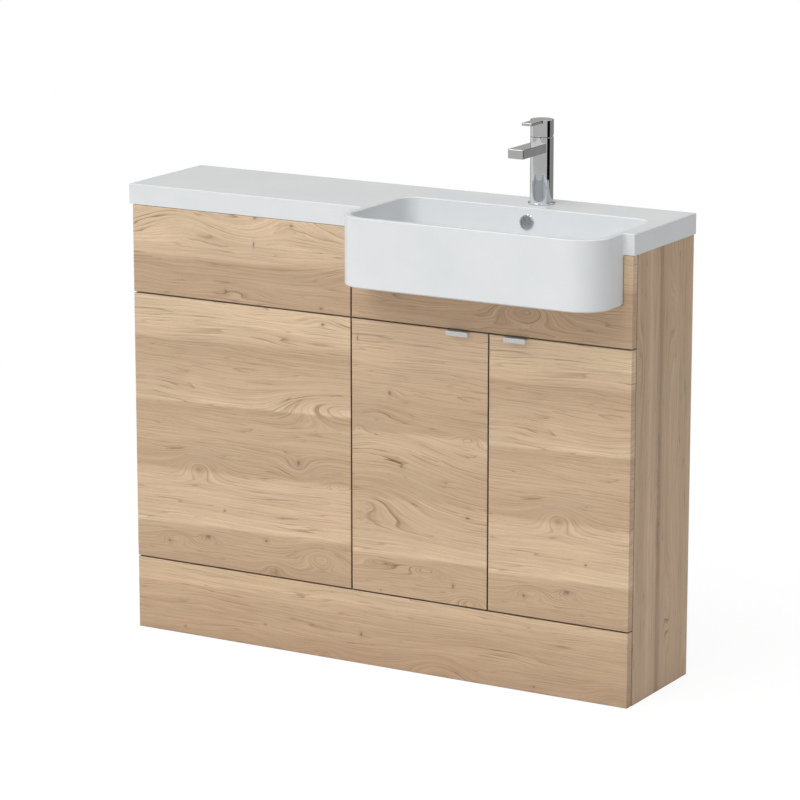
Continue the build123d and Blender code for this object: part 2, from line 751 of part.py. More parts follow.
def make_tap_body():
    """The turned body with its flat spout, bored for the cartridge, aerator, inlets and stud."""
    axis, up, down = (tap_x, tap_y), (0, 0, 1), (0, 0, -1)
    body = rod((*axis, tap_body_z), up, tap_radius, tap_body_height)
    body = chamfer(end_circle(body, (0, 0, 1)), tap_edge_ease)
    spout = flat_bar(spout_reach, spout_width, spout_corner_radius, (spout_bottom_z, spout_top_z))
    flats = spout.faces().filter_by(Axis.Z).edges()
    front_edges = [edge for edge in flats if edge.center().Y < tap_y - tap_radius / 2]
    body += chamfer(front_edges, tap_edge_ease)
    bore = cartridge_radius + cartridge_clearance
    body -= faceted_rod((*axis, cartridge_z), up, bore, tap_body_top_z - cartridge_z, round_sides)
    aerator_at = (tap_x, tap_y - spout_reach + aerator_setback, spout_bottom_z)
    body -= faceted_rod(aerator_at, up, aerator_radius + hole_clearance, aerator_depth, washer_sides)
    for side in (-1, 1):
        inlet_at = (tap_x + side * inlet_spacing / 2, tap_y - inlet_offset, tap_body_z)
        body -= rod(inlet_at, up, inlet_radius, inlet_depth)
    stud_at = (tap_x, tap_y + stud_offset, tap_body_z)
    body -= faceted_rod(stud_at, up, stud_radius + thread_clearance, stud_grip, washer_sides)
    save("tap_body", body)

    aerator = faceted_rod(aerator_at, up, aerator_radius, aerator_depth - 1, washer_sides)
    aerator -= faceted_rod(aerator_at, up, aerator_radius - aerator_lip, aerator_lip, washer_sides)
    save("tap_aerator", aerator)

    gasket = faceted_rod((*axis, tap_base_z), up, tap_gasket_radius, tap_gasket_height, round_sides)
    gasket -= faceted_rod((*axis, tap_base_z), up, tap_hole_radius, tap_gasket_height, washer_sides)
    save("tap_gasket", gasket)
    ring_z = tap_base_z + tap_gasket_height
    ring = rod((*axis, ring_z), up, tap_base_radius, tap_base_height - tap_gasket_height)
    ring = chamfer(end_circle(ring, (0, 0, 1)), tap_base_height * 0.3)
    ring -= faceted_rod((*axis, ring_z), up, tap_hole_radius, tap_base_height, washer_sides)
    save("tap_base_ring", ring)

    deck_z = top_z - top_skin
    stud_axis = (tap_x, tap_y + stud_offset)
    stud = faceted_rod((*stud_axis, tap_body_z + stud_grip), down, stud_radius, stud_length, washer_sides)
    save("tap_stud", stud)
    save("tap_clamp_rubber", horseshoe(deck_z, clamp_rubber))
    save("tap_clamp_plate", horseshoe(deck_z - clamp_rubber, clamp_plate))
    nut_z = deck_z - clamp_rubber - clamp_plate - tap_nut_height
    nut = extrude(Pos(*stud_axis, nut_z) * RegularPolygon(tap_nut_radius, 6), tap_nut_height)
    nut -= faceted_rod((*stud_axis, nut_z), up, stud_radius + thread_clearance, tap_nut_height, washer_sides)
    save("tap_clamp_nut", nut)


def horseshoe(under_z, thickness):
    """A horseshoe washer under the deck, open to the front for the tap's tails."""
    disc = faceted_rod((tap_x, tap_y, under_z), (0, 0, -1), horseshoe_radius, thickness, washer_sides)
    slot_back = tap_y + stud_offset - 2 * stud_radius
    slot = block(
        (tap_x - horseshoe_slot / 2, tap_x + horseshoe_slot / 2),
        (tap_y - horseshoe_radius - 1, slot_back),
        (under_z - thickness, under_z),
    )
    hole_at = (tap_x, tap_y + stud_offset, under_z)
    hole = faceted_rod(hole_at, (0, 0, -1), stud_radius * 1.2, thickness, washer_sides // 2)
    return disc - slot - hole


def make_tap_inside():
    """The ceramic cartridge, its coned retaining nut, the turning spindle and the stem."""
    axis, up = (tap_x, tap_y), (0, 0, 1)
    cartridge = faceted_rod((*axis, cartridge_z), up, cartridge_radius, cartridge_height, round_sides)
    save("tap_cartridge", cartridge)

    neck_z = tap_body_top_z
    base = Pos(*axis, handle_z) * RegularPolygon(dome_radius, round_sides)
    cone = extrude(base, dome_height, taper=dome_taper)
    dome = cone + faceted_rod((*axis, neck_z), up, dome_radius, handle_z - neck_z, round_sides)
    collar = cartridge_radius + cartridge_clearance - thread_clearance
    thread_bottom = cartridge_top_z
    nut = dome + faceted_rod((*axis, thread_bottom), up, collar, neck_z - thread_bottom, round_sides)
    bore = spindle_radius + spindle_gap
    nut -= faceted_rod((*axis, thread_bottom), up, bore, 2 * dome_height, round_sides)
    save("tap_retaining_nut", nut)

    ear_inner = stem_width / 2 + spindle_gap
    plate_z = cartridge_top_z + spindle_gap
    spindle = faceted_rod((*axis, plate_z), up, spindle_radius, spindle_plate, round_sides)
    for side in (-1, 1):
        ear_x = sorted((tap_x + side * ear_inner, tap_x + side * (ear_inner + spindle_ear)))
        ear_y = (tap_y - spindle_ear_width / 2, tap_y + spindle_ear_width / 2)
        spindle += block(ear_x, ear_y, (plate_z, handle_z))
        ear_start = (ear_x[0], tap_y, handle_z)
        spindle += faceted_rod(ear_start, (1, 0, 0), spindle_ear_width / 2, spindle_ear, washer_sides)
    pin_start = (tap_x - ear_inner - spindle_ear, tap_y, handle_z)
    spindle += rod(pin_start, (1, 0, 0), pivot_radius, 2 * (ear_inner + spindle_ear))
    save("tap_spindle", spindle)

    half = stem_width / 2
    stem = block((tap_x - half, tap_x + half), (tap_y - half, tap_y + half), (handle_z, handle_z + stem_length))
    stem += faceted_rod((tap_x - half, tap_y, handle_z), (1, 0, 0), half, stem_width, washer_sides)
    stem -= rod((tap_x - half, tap_y, handle_z), (1, 0, 0), pivot_radius + running_clearance, stem_width)
    save("tap_stem", stem)


def make_tap_handle():
    """The cap and lever in one piece, hollow over the dome and cut back behind to tip."""
    axis, up = (tap_x, tap_y), (0, 0, 1)
    cap = rod((*axis, handle_z), up, tap_radius, handle_height)
    lever_z = (handle_top_z - lever_thickness, handle_top_z)
    lever = flat_bar(lever_length, lever_width, lever_corner_radius, lever_z)
    handle = cap + lever
    rim_edges = handle.faces().sort_by(Axis.Z)[-1].edges()
    handle = chamfer(rim_edges, tap_edge_ease)
    cavity_height = handle_height - handle_roof
    cavity = faceted_rod((*axis, handle_z), up, tap_radius - handle_wall, cavity_height, round_sides)
    boss_at = (*axis, handle_z + cavity_height - handle_boss_height)
    boss = faceted_rod(boss_at, up, handle_boss_radius, handle_boss_height, washer_sides)
    handle -= cavity - boss
    socket = stem_width / 2 + stem_clearance
    handle -= block(
        (tap_x - socket, tap_x + socket),
        (tap_y - socket, tap_y + socket),
        (handle_z, handle_z + stem_length + 0.2),
    )
    relief = math.radians(tilt_max + tilt_relief)
    rise = 2 * tap_radius * math.tan(relief)
    wedge = make_face(Polyline((0, 0), (2 * tap_radius, rise), (2 * tap_radius, -1), (0, -1), close=True))
    beside = Plane(origin=(tap_x - 2 * tap_radius, tap_y, handle_z), x_dir=(0, 1, 0), z_dir=(1, 0, 0))
    handle -= extrude(beside * wedge, 4 * tap_radius)
    grub_z = handle_z + grub_height
    grub_start = (tap_x, tap_y + stem_width / 2 + stem_clearance, grub_z)
    handle -= faceted_rod(grub_start, (0, 1, 0), grub_radius + thread_clearance, tap_radius)
    grub = faceted_rod(grub_start, (0, 1, 0), grub_radius, handle_boss_radius - stem_width / 2)
    save("tap_handle", handle)
    save("tap_grub_screw", grub)


def hinge_heights():
    """The heights of a door's two hinges."""
    return (lower_front_z + hinge_from_end, door_top_z - hinge_from_end)


def hinge_x(place, distance):
    """A distance inwards from the outer edge of one door, as an x."""
    if place == "left":
        return joint_x + joint_gap / 2 + distance
    return right_x - front_inset - distance


def inward(place):
    """The way from a door's hinged edge to its meeting edge, along x."""
    return 1 if place == "left" else -1


def side_face_x(place):
    """The inner face of the side board that carries a door's hinges."""
    return vanity_inner_x[0] if place == "left" else vanity_inner_x[1]


def cup_screw_places(place, z):
    """Where the two screws of one hinge cup are, as (x, z)."""
    x = hinge_x(place, cup_from_edge + cup_screw_offset)
    return [(x, z - cup_screw_spacing / 2), (x, z + cup_screw_spacing / 2)]


def hinge_cup(place, z):
    """A pressed steel cup with its flange, set in the back of a door."""
    x = hinge_x(place, cup_from_edge)
    start = (x, board_back_y - cup_depth, z)
    cup = faceted_rod(start, (0, 1, 0), cup_radius, cup_depth, round_sides)
    flange_x = hinge_x(place, cup_from_edge + cup_screw_offset - cup_flange_width / 4)
    flange = block(
        (flange_x - cup_flange_width / 2, flange_x + cup_flange_width / 2),
        (board_back_y, board_back_y + cup_flange_thickness),
        (z - cup_flange_height / 2, z + cup_flange_height / 2),
    )
    cup += chamfer(flange.edges().filter_by(Axis.Y), cup_flange_width / 4)
    pocket_start = (x, board_back_y - cup_depth + cup_wall, z)
    pocket_depth = cup_depth + cup_flange_thickness
    cup -= faceted_rod(pocket_start, (0, 1, 0), cup_radius - cup_wall, pocket_depth, round_sides)
    for screw_x, screw_z in cup_screw_places(place, z):
        hole_start = (screw_x, board_back_y, screw_z)
        cup -= faceted_rod(hole_start, (0, 1, 0), screw_radius + hole_clearance, cup_flange_thickness)
    return cup


def wood_screw(start, direction):
    """A short pan-head screw whose head seats at the start point."""
    away = tuple(-value for value in direction)
    shank = faceted_rod(start, direction, screw_radius, screw_length)
    return shank + faceted_rod(start, away, screw_head_radius, screw_head_height)


def pilot_hole(spot):
    """The hole in a door's back for one short screw."""
    start = (spot[0], board_back_y, spot[1])
    return faceted_rod(start, (0, -1, 0), screw_radius + hole_clearance / 2, screw_length)


def handle_screw_places(place):
    """Where the two screws of a door's handle are, as (x, z)."""
    middle = handle_middle_x(place)
    z = door_top_z - handle_rebate - handle_leg / 2
    return [(middle - handle_screw_spacing / 2, z), (middle + handle_screw_spacing / 2, z)]


def handle_middle_x(place):
    """The middle of a door's handle, set in from the meeting edge."""
    offset = joint_gap / 2 + handle_from_edge + handle_length / 2
    return meeting_x - inward(place) * offset


def make_door(place):
    """One door with its handle, cups, screws and bumper, and the links of its hinges."""
    x = sorted((hinge_x(place, 0), meeting_x - inward(place) * joint_gap / 2))
    door = eased_front(x, (lower_front_z, door_top_z))
    middle = handle_middle_x(place)
    handle_span = (middle - handle_length / 2, middle + handle_length / 2)
    door -= block(handle_span, (front_y - 1, board_back_y + 1), (door_top_z - handle_rebate, door_top_z + 1))
    cups, screws = [], []
    for z in hinge_heights():
        start = (hinge_x(place, cup_from_edge), board_back_y, z)
        depth = cup_depth + cup_clearance
        door -= faceted_rod(start, (0, -1, 0), cup_radius + cup_clearance, depth, round_sides)
        cups.append(hinge_cup(place, z))
        for spot in cup_screw_places(place, z):
            door -= pilot_hole(spot)
            seat = (spot[0], board_back_y + cup_flange_thickness, spot[1])
            screws.append(wood_screw(seat, (0, -1, 0)))
    for spot in handle_screw_places(place):
        door -= pilot_hole(spot)
        screws.append(wood_screw((spot[0], board_back_y + handle_sheet, spot[1]), (0, -1, 0)))
    save(f"{place}_door", door)
    save(f"{place}_hinge_cups", cups)
    save(f"{place}_door_screws", screws)
    save(f"{place}_door_handle", edge_pull(place))
    save(f"{place}_door_bumper", door_bumper(place))
    save(f"{place}_hinge_links", [hinge_link(place, z) for z in hinge_heights()])


def edge_pull(place):
    """A folded strip over the door's top edge, with a front lip and a back leg."""
    plate_z = door_top_z - handle_rebate
    top = plate_z + handle_sheet
    sheet = handle_sheet
    profile = Polyline(
        (front_y - handle_reach, top),
        (board_back_y + sheet, top),
        (board_back_y + sheet, plate_z - handle_leg),
        (board_back_y, plate_z - handle_leg),
        (board_back_y, plate_z),
        (front_y - handle_reach + sheet, plate_z),
        (front_y - handle_reach + sheet, top - handle_lip),
        (front_y - handle_reach, top - handle_lip),
        close=True,
    )
    middle = handle_middle_x(place)
    plane = Plane(origin=(middle - handle_length / 2, 0, 0), x_dir=(0, 1, 0), z_dir=(1, 0, 0))
    pull = extrude(plane * make_face(profile), handle_length)
    outer = pull.edges().filter_by(Axis.X).group_by(Axis.Z)[-1]
    pull = fillet(outer, sheet * 0.6)
    for spot in handle_screw_places(place):
        start = (spot[0], board_back_y, spot[1])
        pull -= faceted_rod(start, (0, 1, 0), screw_radius + hole_clearance, sheet)
    return pull


def door_bumper(place):
    """A soft buffer on the back of the door, low at the meeting edge, that meets the base."""
    x = meeting_x - inward(place) * (joint_gap / 2 + bumper_inset)
    z = lower_front_z + bumper_inset
    return faceted_rod((x, board_back_y, z), (0, 1, 0), bumper_radius, bumper_height)


def hinge_link(place, z):
    """The link that joins an arm to its cup, folded into the cup while the door is shut."""
    start_x = hinge_x(place, link_pivot_x)
    end_x = hinge_x(place, link_pivot_x - link_length)
    y = front_y + link_pivot_y
    low = z - link_height / 2
    ends = []
    for x in (start_x, end_x):
        ends.append(faceted_rod((x, y, low), (0, 0, 1), link_half_width, link_height, washer_sides))
    span = sorted((start_x, end_x))
    link = block(span, (y - link_half_width, y + link_half_width), (low, low + link_height)) + ends
    pin_hole = link_pin_radius + running_clearance
    return link - faceted_rod((start_x, y, low), (0, 0, 1), pin_hole, link_height, washer_sides)


def hinge_arm(place, z):
    """The cranked arm: two cheeks that dip into the cup, a channel and the link's pin."""
    pivot = (hinge_x(place, link_pivot_x), front_y + link_pivot_y)
    away = inward(place)
    plate_x = side_face_x(place) + away * hinge_plate_thickness
    front = carcass_front_y + arm_start
    channel_x = sorted((plate_x, plate_x + away * arm_width))
    arm = block(channel_x, (front, front + arm_length), (z - arm_height / 2, z + arm_height / 2))
    root = Pos(plate_x + away * arm_width * 0.6, front + cheek_radius)
    outline = make_hull(
        [
            *(Pos(*pivot) * Circle(cheek_radius)).edges(),
            *(root * Rectangle(arm_width * 0.8, 2 * cheek_radius)).edges(),
        ]
    )
    inside = link_height / 2 + cheek_gap
    pin_low = z - inside - cheek_thickness
    cheeks = [extrude(Pos(0, 0, low) * outline, cheek_thickness) for low in (pin_low, z + inside)]
    pin = faceted_rod((*pivot, pin_low), (0, 0, 1), link_pin_radius, 2 * (inside + cheek_thickness))
    return arm + cheeks + pin


def make_hinge_mounts():
    """The arms and mounting plates of all four hinges, which stay on the side boards."""
    hinges = [(place, z) for place in ("left", "right") for z in hinge_heights()]
    save("hinge_arms", [hinge_arm(*hinge) for hinge in hinges])
    save("hinge_plates", [hinge_plate(*hinge) for hinge in hinges])


def hinge_plate_screws(place, z):
    """Where the two screws of one mounting plate are, as (y, z)."""
    y = carcass_front_y + hinge_plate_setback
    return [(y, z - hinge_screw_spacing / 2), (y, z + hinge_screw_spacing / 2)]


def hinge_plate_holes(place, z):
    """The two holes for one mounting plate in its side board."""
    direction = (-inward(place), 0, 0)
    face = side_face_x(place)
    radius = screw_radius + hole_clearance / 2
    places = hinge_plate_screws(place, z)
    return [faceted_rod((face, *spot), direction, radius, screw_length) for spot in places]


def hinge_plate(place, z):
    """The mounting plate on the side board, with its two screws."""
    away = inward(place)
    face = side_face_x(place)
    x = sorted((face, face + away * hinge_plate_thickness))
    y = carcass_front_y + hinge_plate_setback
    plate = block(
        x,
        (y - hinge_plate_width / 2, y + hinge_plate_width / 2),
        (z - arm_height / 2, z + arm_height / 2),
    )
    wing = block(
        x,
        (y - hinge_wing_width / 2, y + hinge_wing_width / 2),
        (z - hinge_plate_height / 2, z + hinge_plate_height / 2),
    )
    plate += chamfer(wing.edges().filter_by(Axis.X), hinge_wing_ease)
    for spot in hinge_plate_screws(place, z):
        head = (face + away * hinge_plate_thickness, *spot)
        shank = hinge_plate_thickness + screw_length - pilot_depth
        plate += faceted_rod(head, (-away, 0, 0), screw_radius, shank)
        plate += faceted_rod(head, (away, 0, 0), screw_head_radius, screw_head_height / 2)
    return plate


make_carcass()
make_fixed_fronts()
make_access_panel()
make_top()
make_overflow()
make_waste()
make_tap_body()
make_tap_inside()
make_tap_handle()
make_door("left")
make_door("right")
make_hinge_mounts()
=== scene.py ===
"""Bathroom unit with a cast basin top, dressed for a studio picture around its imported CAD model.

The file is laid out as an add-on: settings, one operator for each group of like pieces, and a sidebar
panel that lists them. Run as a script, it registers itself and builds the whole scene in order.
"""

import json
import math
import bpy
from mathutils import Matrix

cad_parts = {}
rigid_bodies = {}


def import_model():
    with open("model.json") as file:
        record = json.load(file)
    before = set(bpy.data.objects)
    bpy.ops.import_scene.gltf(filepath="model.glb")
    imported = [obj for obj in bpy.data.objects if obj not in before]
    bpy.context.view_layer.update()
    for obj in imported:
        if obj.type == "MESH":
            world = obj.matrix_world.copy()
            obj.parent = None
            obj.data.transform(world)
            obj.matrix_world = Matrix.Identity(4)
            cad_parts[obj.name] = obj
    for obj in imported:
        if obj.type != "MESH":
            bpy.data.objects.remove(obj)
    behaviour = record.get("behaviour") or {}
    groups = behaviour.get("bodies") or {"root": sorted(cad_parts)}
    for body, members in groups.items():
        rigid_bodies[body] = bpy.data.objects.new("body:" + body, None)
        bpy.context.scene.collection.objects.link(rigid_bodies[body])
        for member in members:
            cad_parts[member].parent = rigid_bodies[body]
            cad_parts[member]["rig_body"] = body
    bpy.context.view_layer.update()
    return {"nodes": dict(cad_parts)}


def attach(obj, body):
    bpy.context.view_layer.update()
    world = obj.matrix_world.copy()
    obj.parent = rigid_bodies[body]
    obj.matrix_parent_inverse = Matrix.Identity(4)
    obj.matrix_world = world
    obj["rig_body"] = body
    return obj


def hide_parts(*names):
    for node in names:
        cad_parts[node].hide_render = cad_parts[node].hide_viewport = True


bl_info = {
    "name": "Bathroom unit scene",
    "version": (1, 0, 0),
    "blender": (4, 5, 0),
    "location": "3D View > Sidebar > Unit",
    "description": "Dresses the bathroom unit and lights it in a white studio",
    "category": "Scene",
}

import bmesh
import bpy
import numpy as np
from mathutils import Vector

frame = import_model()

MM = 0.001

# Left edges of the unit, the left door and the right door, where their prints start, in mm.
UNIT_LEFT = -546.5
DOOR_LEFT = -45.0
RIGHT_DOOR_LEFT = 255.0

# Seven tones of light oak decor paper, in even steps from heartwood to the palest early wood.
OAK_TONES = {"heart": "AF9276", "umber": "B5987C", "walnut": "BB9F82", "tan": "C2A688",
             "fawn": "C8AC8E", "honey": "CEB294", "straw": "D4B99A"}

# How far the grain's slow wave and the planks' wandering edges stray, in mm.
GRAIN_WAVE = 24.0
EDGE_WANDER = 5.0

# The camera's place in metres, and its turn from the front and its tilt downwards in degrees.
CAMERA_PLACE = (3.48085, -5.99791, 2.11669)
CAMERA_TURN = 30
CAMERA_TILT = 13

# The round wall of studio cards, in metres, and the widest step of its facets in degrees.
DRUM_RADIUS = 3.4
DRUM_STEP = 6

# Shares of a screw head's radius: its height, its outer face, its cross's arms end to end and their width.
HEAD_HEIGHT = 0.55
HEAD_FACE = 0.72
CROSS_LENGTH = 1.15
CROSS_WIDTH = 0.26
# How far a thread's crest stands out, as a share of the shank's radius, and one turn's rise in metres.
THREAD_CREST = 0.2
THREAD_PITCH = 0.0018


def srgb(code):
    """Linear colour of a six-figure sRGB code."""
    def channel(pair):
        value = int(pair, 16) / 255
        return value / 12.92 if value <= 0.04045 else ((value + 0.055) / 1.055) ** 2.4
    return tuple(channel(code[i:i + 2]) for i in (0, 2, 4)) + (1.0,)


def node(tree, kind, inputs=None, output=0, **settings):
    """Adds a node with its settings, sets or links its inputs, and returns one of its outputs."""
    made = tree.nodes.new(kind)
    for name, value in settings.items():
        setattr(made, name, value)
    for key, value in (inputs or {}).items():
        if isinstance(value, bpy.types.NodeSocket):
            tree.links.new(value, made.inputs[key])
        else:
            made.inputs[key].default_value = value
    return made.outputs[output]


def set_stops(ramp, stops, interpolation="LINEAR"):
    """Fills a colour ramp with (position, colour code) pairs."""
    ramp.interpolation = interpolation
    while len(ramp.elements) > 1:
        ramp.elements.remove(ramp.elements[-1])
    ramp.elements[0].position = stops[0][0]
    ramp.elements[0].color = srgb(stops[0][1])
    for position, code in stops[1:]:
        ramp.elements.new(position).color = srgb(code)


def group_tree(name, inputs, outputs):
    """Starts a shader node group with named sockets, and returns it with its input and output nodes."""
    tree = bpy.data.node_groups.new(name, "ShaderNodeTree")
    for label, kind, default in inputs:
        socket = tree.interface.new_socket(label, in_out="INPUT", socket_type=kind)
        socket.default_value = default
    for label, kind in outputs:
        tree.interface.new_socket(label, in_out="OUTPUT", socket_type=kind)
    return tree, tree.nodes.new("NodeGroupInput"), tree.nodes.new("NodeGroupOutput")


def surface(name):
    """Starts a material with one Principled shader, and returns it, its tree and the shader."""
    material = bpy.data.materials.new(name)
    material.use_nodes = True
    shader = material.node_tree.nodes["Principled BSDF"]
    return material, material.node_tree, shader


def nodes_of(slot):
    """The CAD nodes that carry a material slot of the record."""
    return [n for n, o in frame["nodes"].items() if o.data.materials[0].name.split(".")[0] == slot]


def dress(names, material):
    """Gives carried-over CAD nodes a procedural material through their own slots."""
    for name in names:
        for slot in frame["nodes"][name].material_slots:
            slot.link = "OBJECT"
            slot.material = material


def hill_group():
    """Makes the shader group "Grain hill": a smooth round lift of the grain around one point, in mm."""
    tree, given, made = group_tree(
        "Grain hill",
        [("Point", "NodeSocketVector", (0, 0, 0)), ("Centre", "NodeSocketVector", (0, 0, 0)),
         ("Reach", "NodeSocketVector", (50, 20, 1e6)), ("Lift", "NodeSocketFloat", 10.0)],
        [("Lift", "NodeSocketFloat"), ("Near", "NodeSocketFloat")])
    away = node(tree, "ShaderNodeVectorMath",
                {0: given.outputs["Point"], 1: given.outputs["Centre"]}, operation="SUBTRACT")
    scaled = node(tree, "ShaderNodeVectorMath", {0: away, 1: given.outputs["Reach"]}, operation="DIVIDE")
    square = node(tree, "ShaderNodeVectorMath", {0: scaled, 1: scaled}, output=1, operation="DOT_PRODUCT")
    minus = node(tree, "ShaderNodeMath", {0: square, 1: -1.0}, operation="MULTIPLY")
    near = node(tree, "ShaderNodeMath", {0: minus}, operation="EXPONENT")
    lift = node(tree, "ShaderNodeMath", {0: near, 1: given.outputs["Lift"]}, operation="MULTIPLY")
    tree.links.new(lift, made.inputs["Lift"])
    tree.links.new(near, made.inputs["Near"])


def oak_group():
    """Makes the shader group "Oak print": rings that follow a field, fibres, pores and knots over a tone.

    Real pores are about 0.1 mm wide. They are drawn 0.6 mm wide, the finest that shows in a picture.
    """
    tree, given, made = group_tree(
        "Oak print",
        [("Point", "NodeSocketVector", (0, 0, 0)), ("Field", "NodeSocketFloat", 0.0),
         ("Figure", "NodeSocketFloat", 0.3), ("Knot", "NodeSocketFloat", 0.0),
         ("Tone", "NodeSocketColor", (0.6, 0.45, 0.3, 1)), ("Pitch", "NodeSocketFloat", 9.0)],
        [("Color", "NodeSocketColor"), ("Roughness", "NodeSocketFloat"), ("Height", "NodeSocketFloat")])
    point, field = given.outputs["Point"], given.outputs["Field"]

    along = node(tree, "ShaderNodeSeparateXYZ", {0: point})
    depth = node(tree, "ShaderNodeSeparateXYZ", {0: point}, output=2)
    # Everything that follows the grain is drawn in a space where the ring field is the second axis.
    grain = node(tree, "ShaderNodeCombineXYZ", {0: along, 1: field, 2: depth})

    # Late wood comes in lines that are dark on one side and fade on the other, unevenly spaced.
    count = node(tree, "ShaderNodeMath", {0: field, 1: given.outputs["Pitch"]}, operation="DIVIDE")
    wander_at = node(tree, "ShaderNodeVectorMath", {0: grain, 1: (0.003, 0.045, 0.0)}, operation="MULTIPLY")
    wander = node(tree, "ShaderNodeTexNoise", {"Vector": wander_at, "Scale": 1.0, "Detail": 2.0})
    uneven = node(tree, "ShaderNodeMath", {0: wander, 1: 7.0, 2: count}, operation="MULTIPLY_ADD")
    phase = node(tree, "ShaderNodeMath", {0: uneven}, operation="FRACT")
    line = node(tree, "ShaderNodeValToRGB", {0: phase})
    set_stops(line.node.color_ramp, [(0.0, "000000"), (0.06, "FFFFFF"), (0.16, "9A9A9A"), (0.45, "2A2A2A"),
                                     (0.8, "000000")])
    fade_at = node(tree, "ShaderNodeVectorMath", {0: grain, 1: (0.012, 0.06, 0.02)}, operation="MULTIPLY")
    fade = node(tree, "ShaderNodeTexNoise", {"Vector": fade_at, "Scale": 1.0, "Detail": 3.0})
    faded = node(tree, "ShaderNodeMapRange", {0: fade, 1: 0.35, 2: 0.68}, interpolation_type="SMOOTHSTEP")
    ring = node(tree, "ShaderNodeMath", {0: line, 1: faded}, operation="MULTIPLY")
    ring = node(tree, "ShaderNodeMath", {0: ring, 1: given.outputs["Figure"]}, operation="MULTIPLY")

    # Fine year lines about 2 mm apart run between the strong ones.
    fine_at = node(tree, "ShaderNodeVectorMath", {0: grain, 1: (0.0045, 0.5, 0.1)}, operation="MULTIPLY")
    fine = node(tree, "ShaderNodeTexNoise",
                {"Vector": fine_at, "Scale": 1.0, "Detail": 3.0, "Roughness": 0.6})
    fine = node(tree, "ShaderNodeMapRange", {0: fine, 1: 0.36, 2: 0.64})

    # Fibres are straight streaks, longer than wide by sixty-five to one.
    fibre_at = node(tree, "ShaderNodeVectorMath", {0: grain, 1: (0.02, 1.3, 0.4)}, operation="MULTIPLY")
    fibre = node(tree, "ShaderNodeTexNoise",
                 {"Vector": fibre_at, "Scale": 1.0, "Detail": 4.0, "Roughness": 0.65})
    fibre = node(tree, "ShaderNodeMapRange", {0: fibre, 1: 0.3, 2: 0.7})

    pore_at = node(tree, "ShaderNodeVectorMath", {0: grain, 1: (0.13, 1.7, 0.9)}, operation="MULTIPLY")
    pore = node(tree, "ShaderNodeTexNoise", {"Vector": pore_at, "Scale": 1.0, "Detail": 1.0})
    pore = node(tree, "ShaderNodeMapRange", {0: pore, 1: 0.6, 2: 0.74}, interpolation_type="SMOOTHSTEP")

    # The print's colour drifts between warm and grey over a hand's breadth.
    drift_at = node(tree, "ShaderNodeVectorMath", {0: point, 1: (0.006, 0.014, 0.006)}, operation="MULTIPLY")
    drift = node(tree, "ShaderNodeTexNoise", {"Vector": drift_at, "Scale": 1.0, "Detail": 2.0})
    drift = node(tree, "ShaderNodeMapRange", {0: drift, 1: 0.35, 2: 0.65})
    amount = node(tree, "ShaderNodeMath", {0: drift, 1: 0.24}, operation="MULTIPLY")
    tone = node(tree, "ShaderNodeMix", {0: amount, 6: given.outputs["Tone"], 7: srgb("B7A38A")}, output=2,
                data_type="RGBA", blend_type="MIX")

    shade = node(tree, "ShaderNodeMapRange", {0: fibre, 3: 0.92, 4: 1.065})
    shade_fine = node(tree, "ShaderNodeMapRange", {0: fine, 3: 0.88, 4: 1.08})
    shade = node(tree, "ShaderNodeMath", {0: shade, 1: shade_fine}, operation="MULTIPLY")
    shaded = node(tree, "ShaderNodeVectorMath", {0: tone, "Scale": shade}, operation="SCALE")

    ringed = node(tree, "ShaderNodeMix", {0: ring, 6: shaded, 7: srgb("7A5A43")}, output=2,
                  data_type="RGBA", blend_type="MIX")
    porous = node(tree, "ShaderNodeMath", {0: pore, 1: 0.22}, operation="MULTIPLY")
    pored = node(tree, "ShaderNodeMix", {0: porous, 6: ringed, 7: srgb("7D6048")}, output=2,
                 data_type="RGBA", blend_type="MIX")
    knotted = node(tree, "ShaderNodeMix", {0: given.outputs["Knot"], 6: pored, 7: srgb("6B5142")}, output=2,
                   data_type="RGBA", blend_type="MIX")
    # Painted shade: ambient occlusion darkens the colour in the 3 mm joints between the fronts to dark
    # brown, where little light reaches.
    open_air = node(tree, "ShaderNodeAmbientOcclusion", {"Distance": 0.014}, output=1, samples=8)
    joint_shade = node(tree, "ShaderNodeMapRange", {0: open_air, 1: 0.1, 2: 0.6, 3: 0.2, 4: 1.0})
    joint_shaded = node(tree, "ShaderNodeVectorMath", {0: knotted, "Scale": joint_shade}, operation="SCALE")
    tree.links.new(joint_shaded, made.inputs["Color"])

    rough = node(tree, "ShaderNodeMapRange", {0: fibre, 3: 0.56, 4: 0.48})
    tree.links.new(rough, made.inputs["Roughness"])
    sunk = node(tree, "ShaderNodeMath", {0: pore, 1: -0.8, 2: fibre}, operation="MULTIPLY_ADD")
    tree.links.new(sunk, made.inputs["Height"])


def deepened(stops, share=0.55):
    """The stops with each tone pushed away from the sheet's mean, so planks read through the grain."""
    codes = [[int(OAK_TONES[tone][i:i + 2], 16) for i in (0, 2, 4)] for _, tone in stops]
    means = [sum(channel) / len(codes) for channel in zip(*codes)]
    moved = [[min(255, round(v + share * (v - m))) for v, m in zip(code, means)] for code in codes]
    return [(at, "".join(f"{v:02X}" for v in code)) for (at, _), code in zip(stops, moved)]


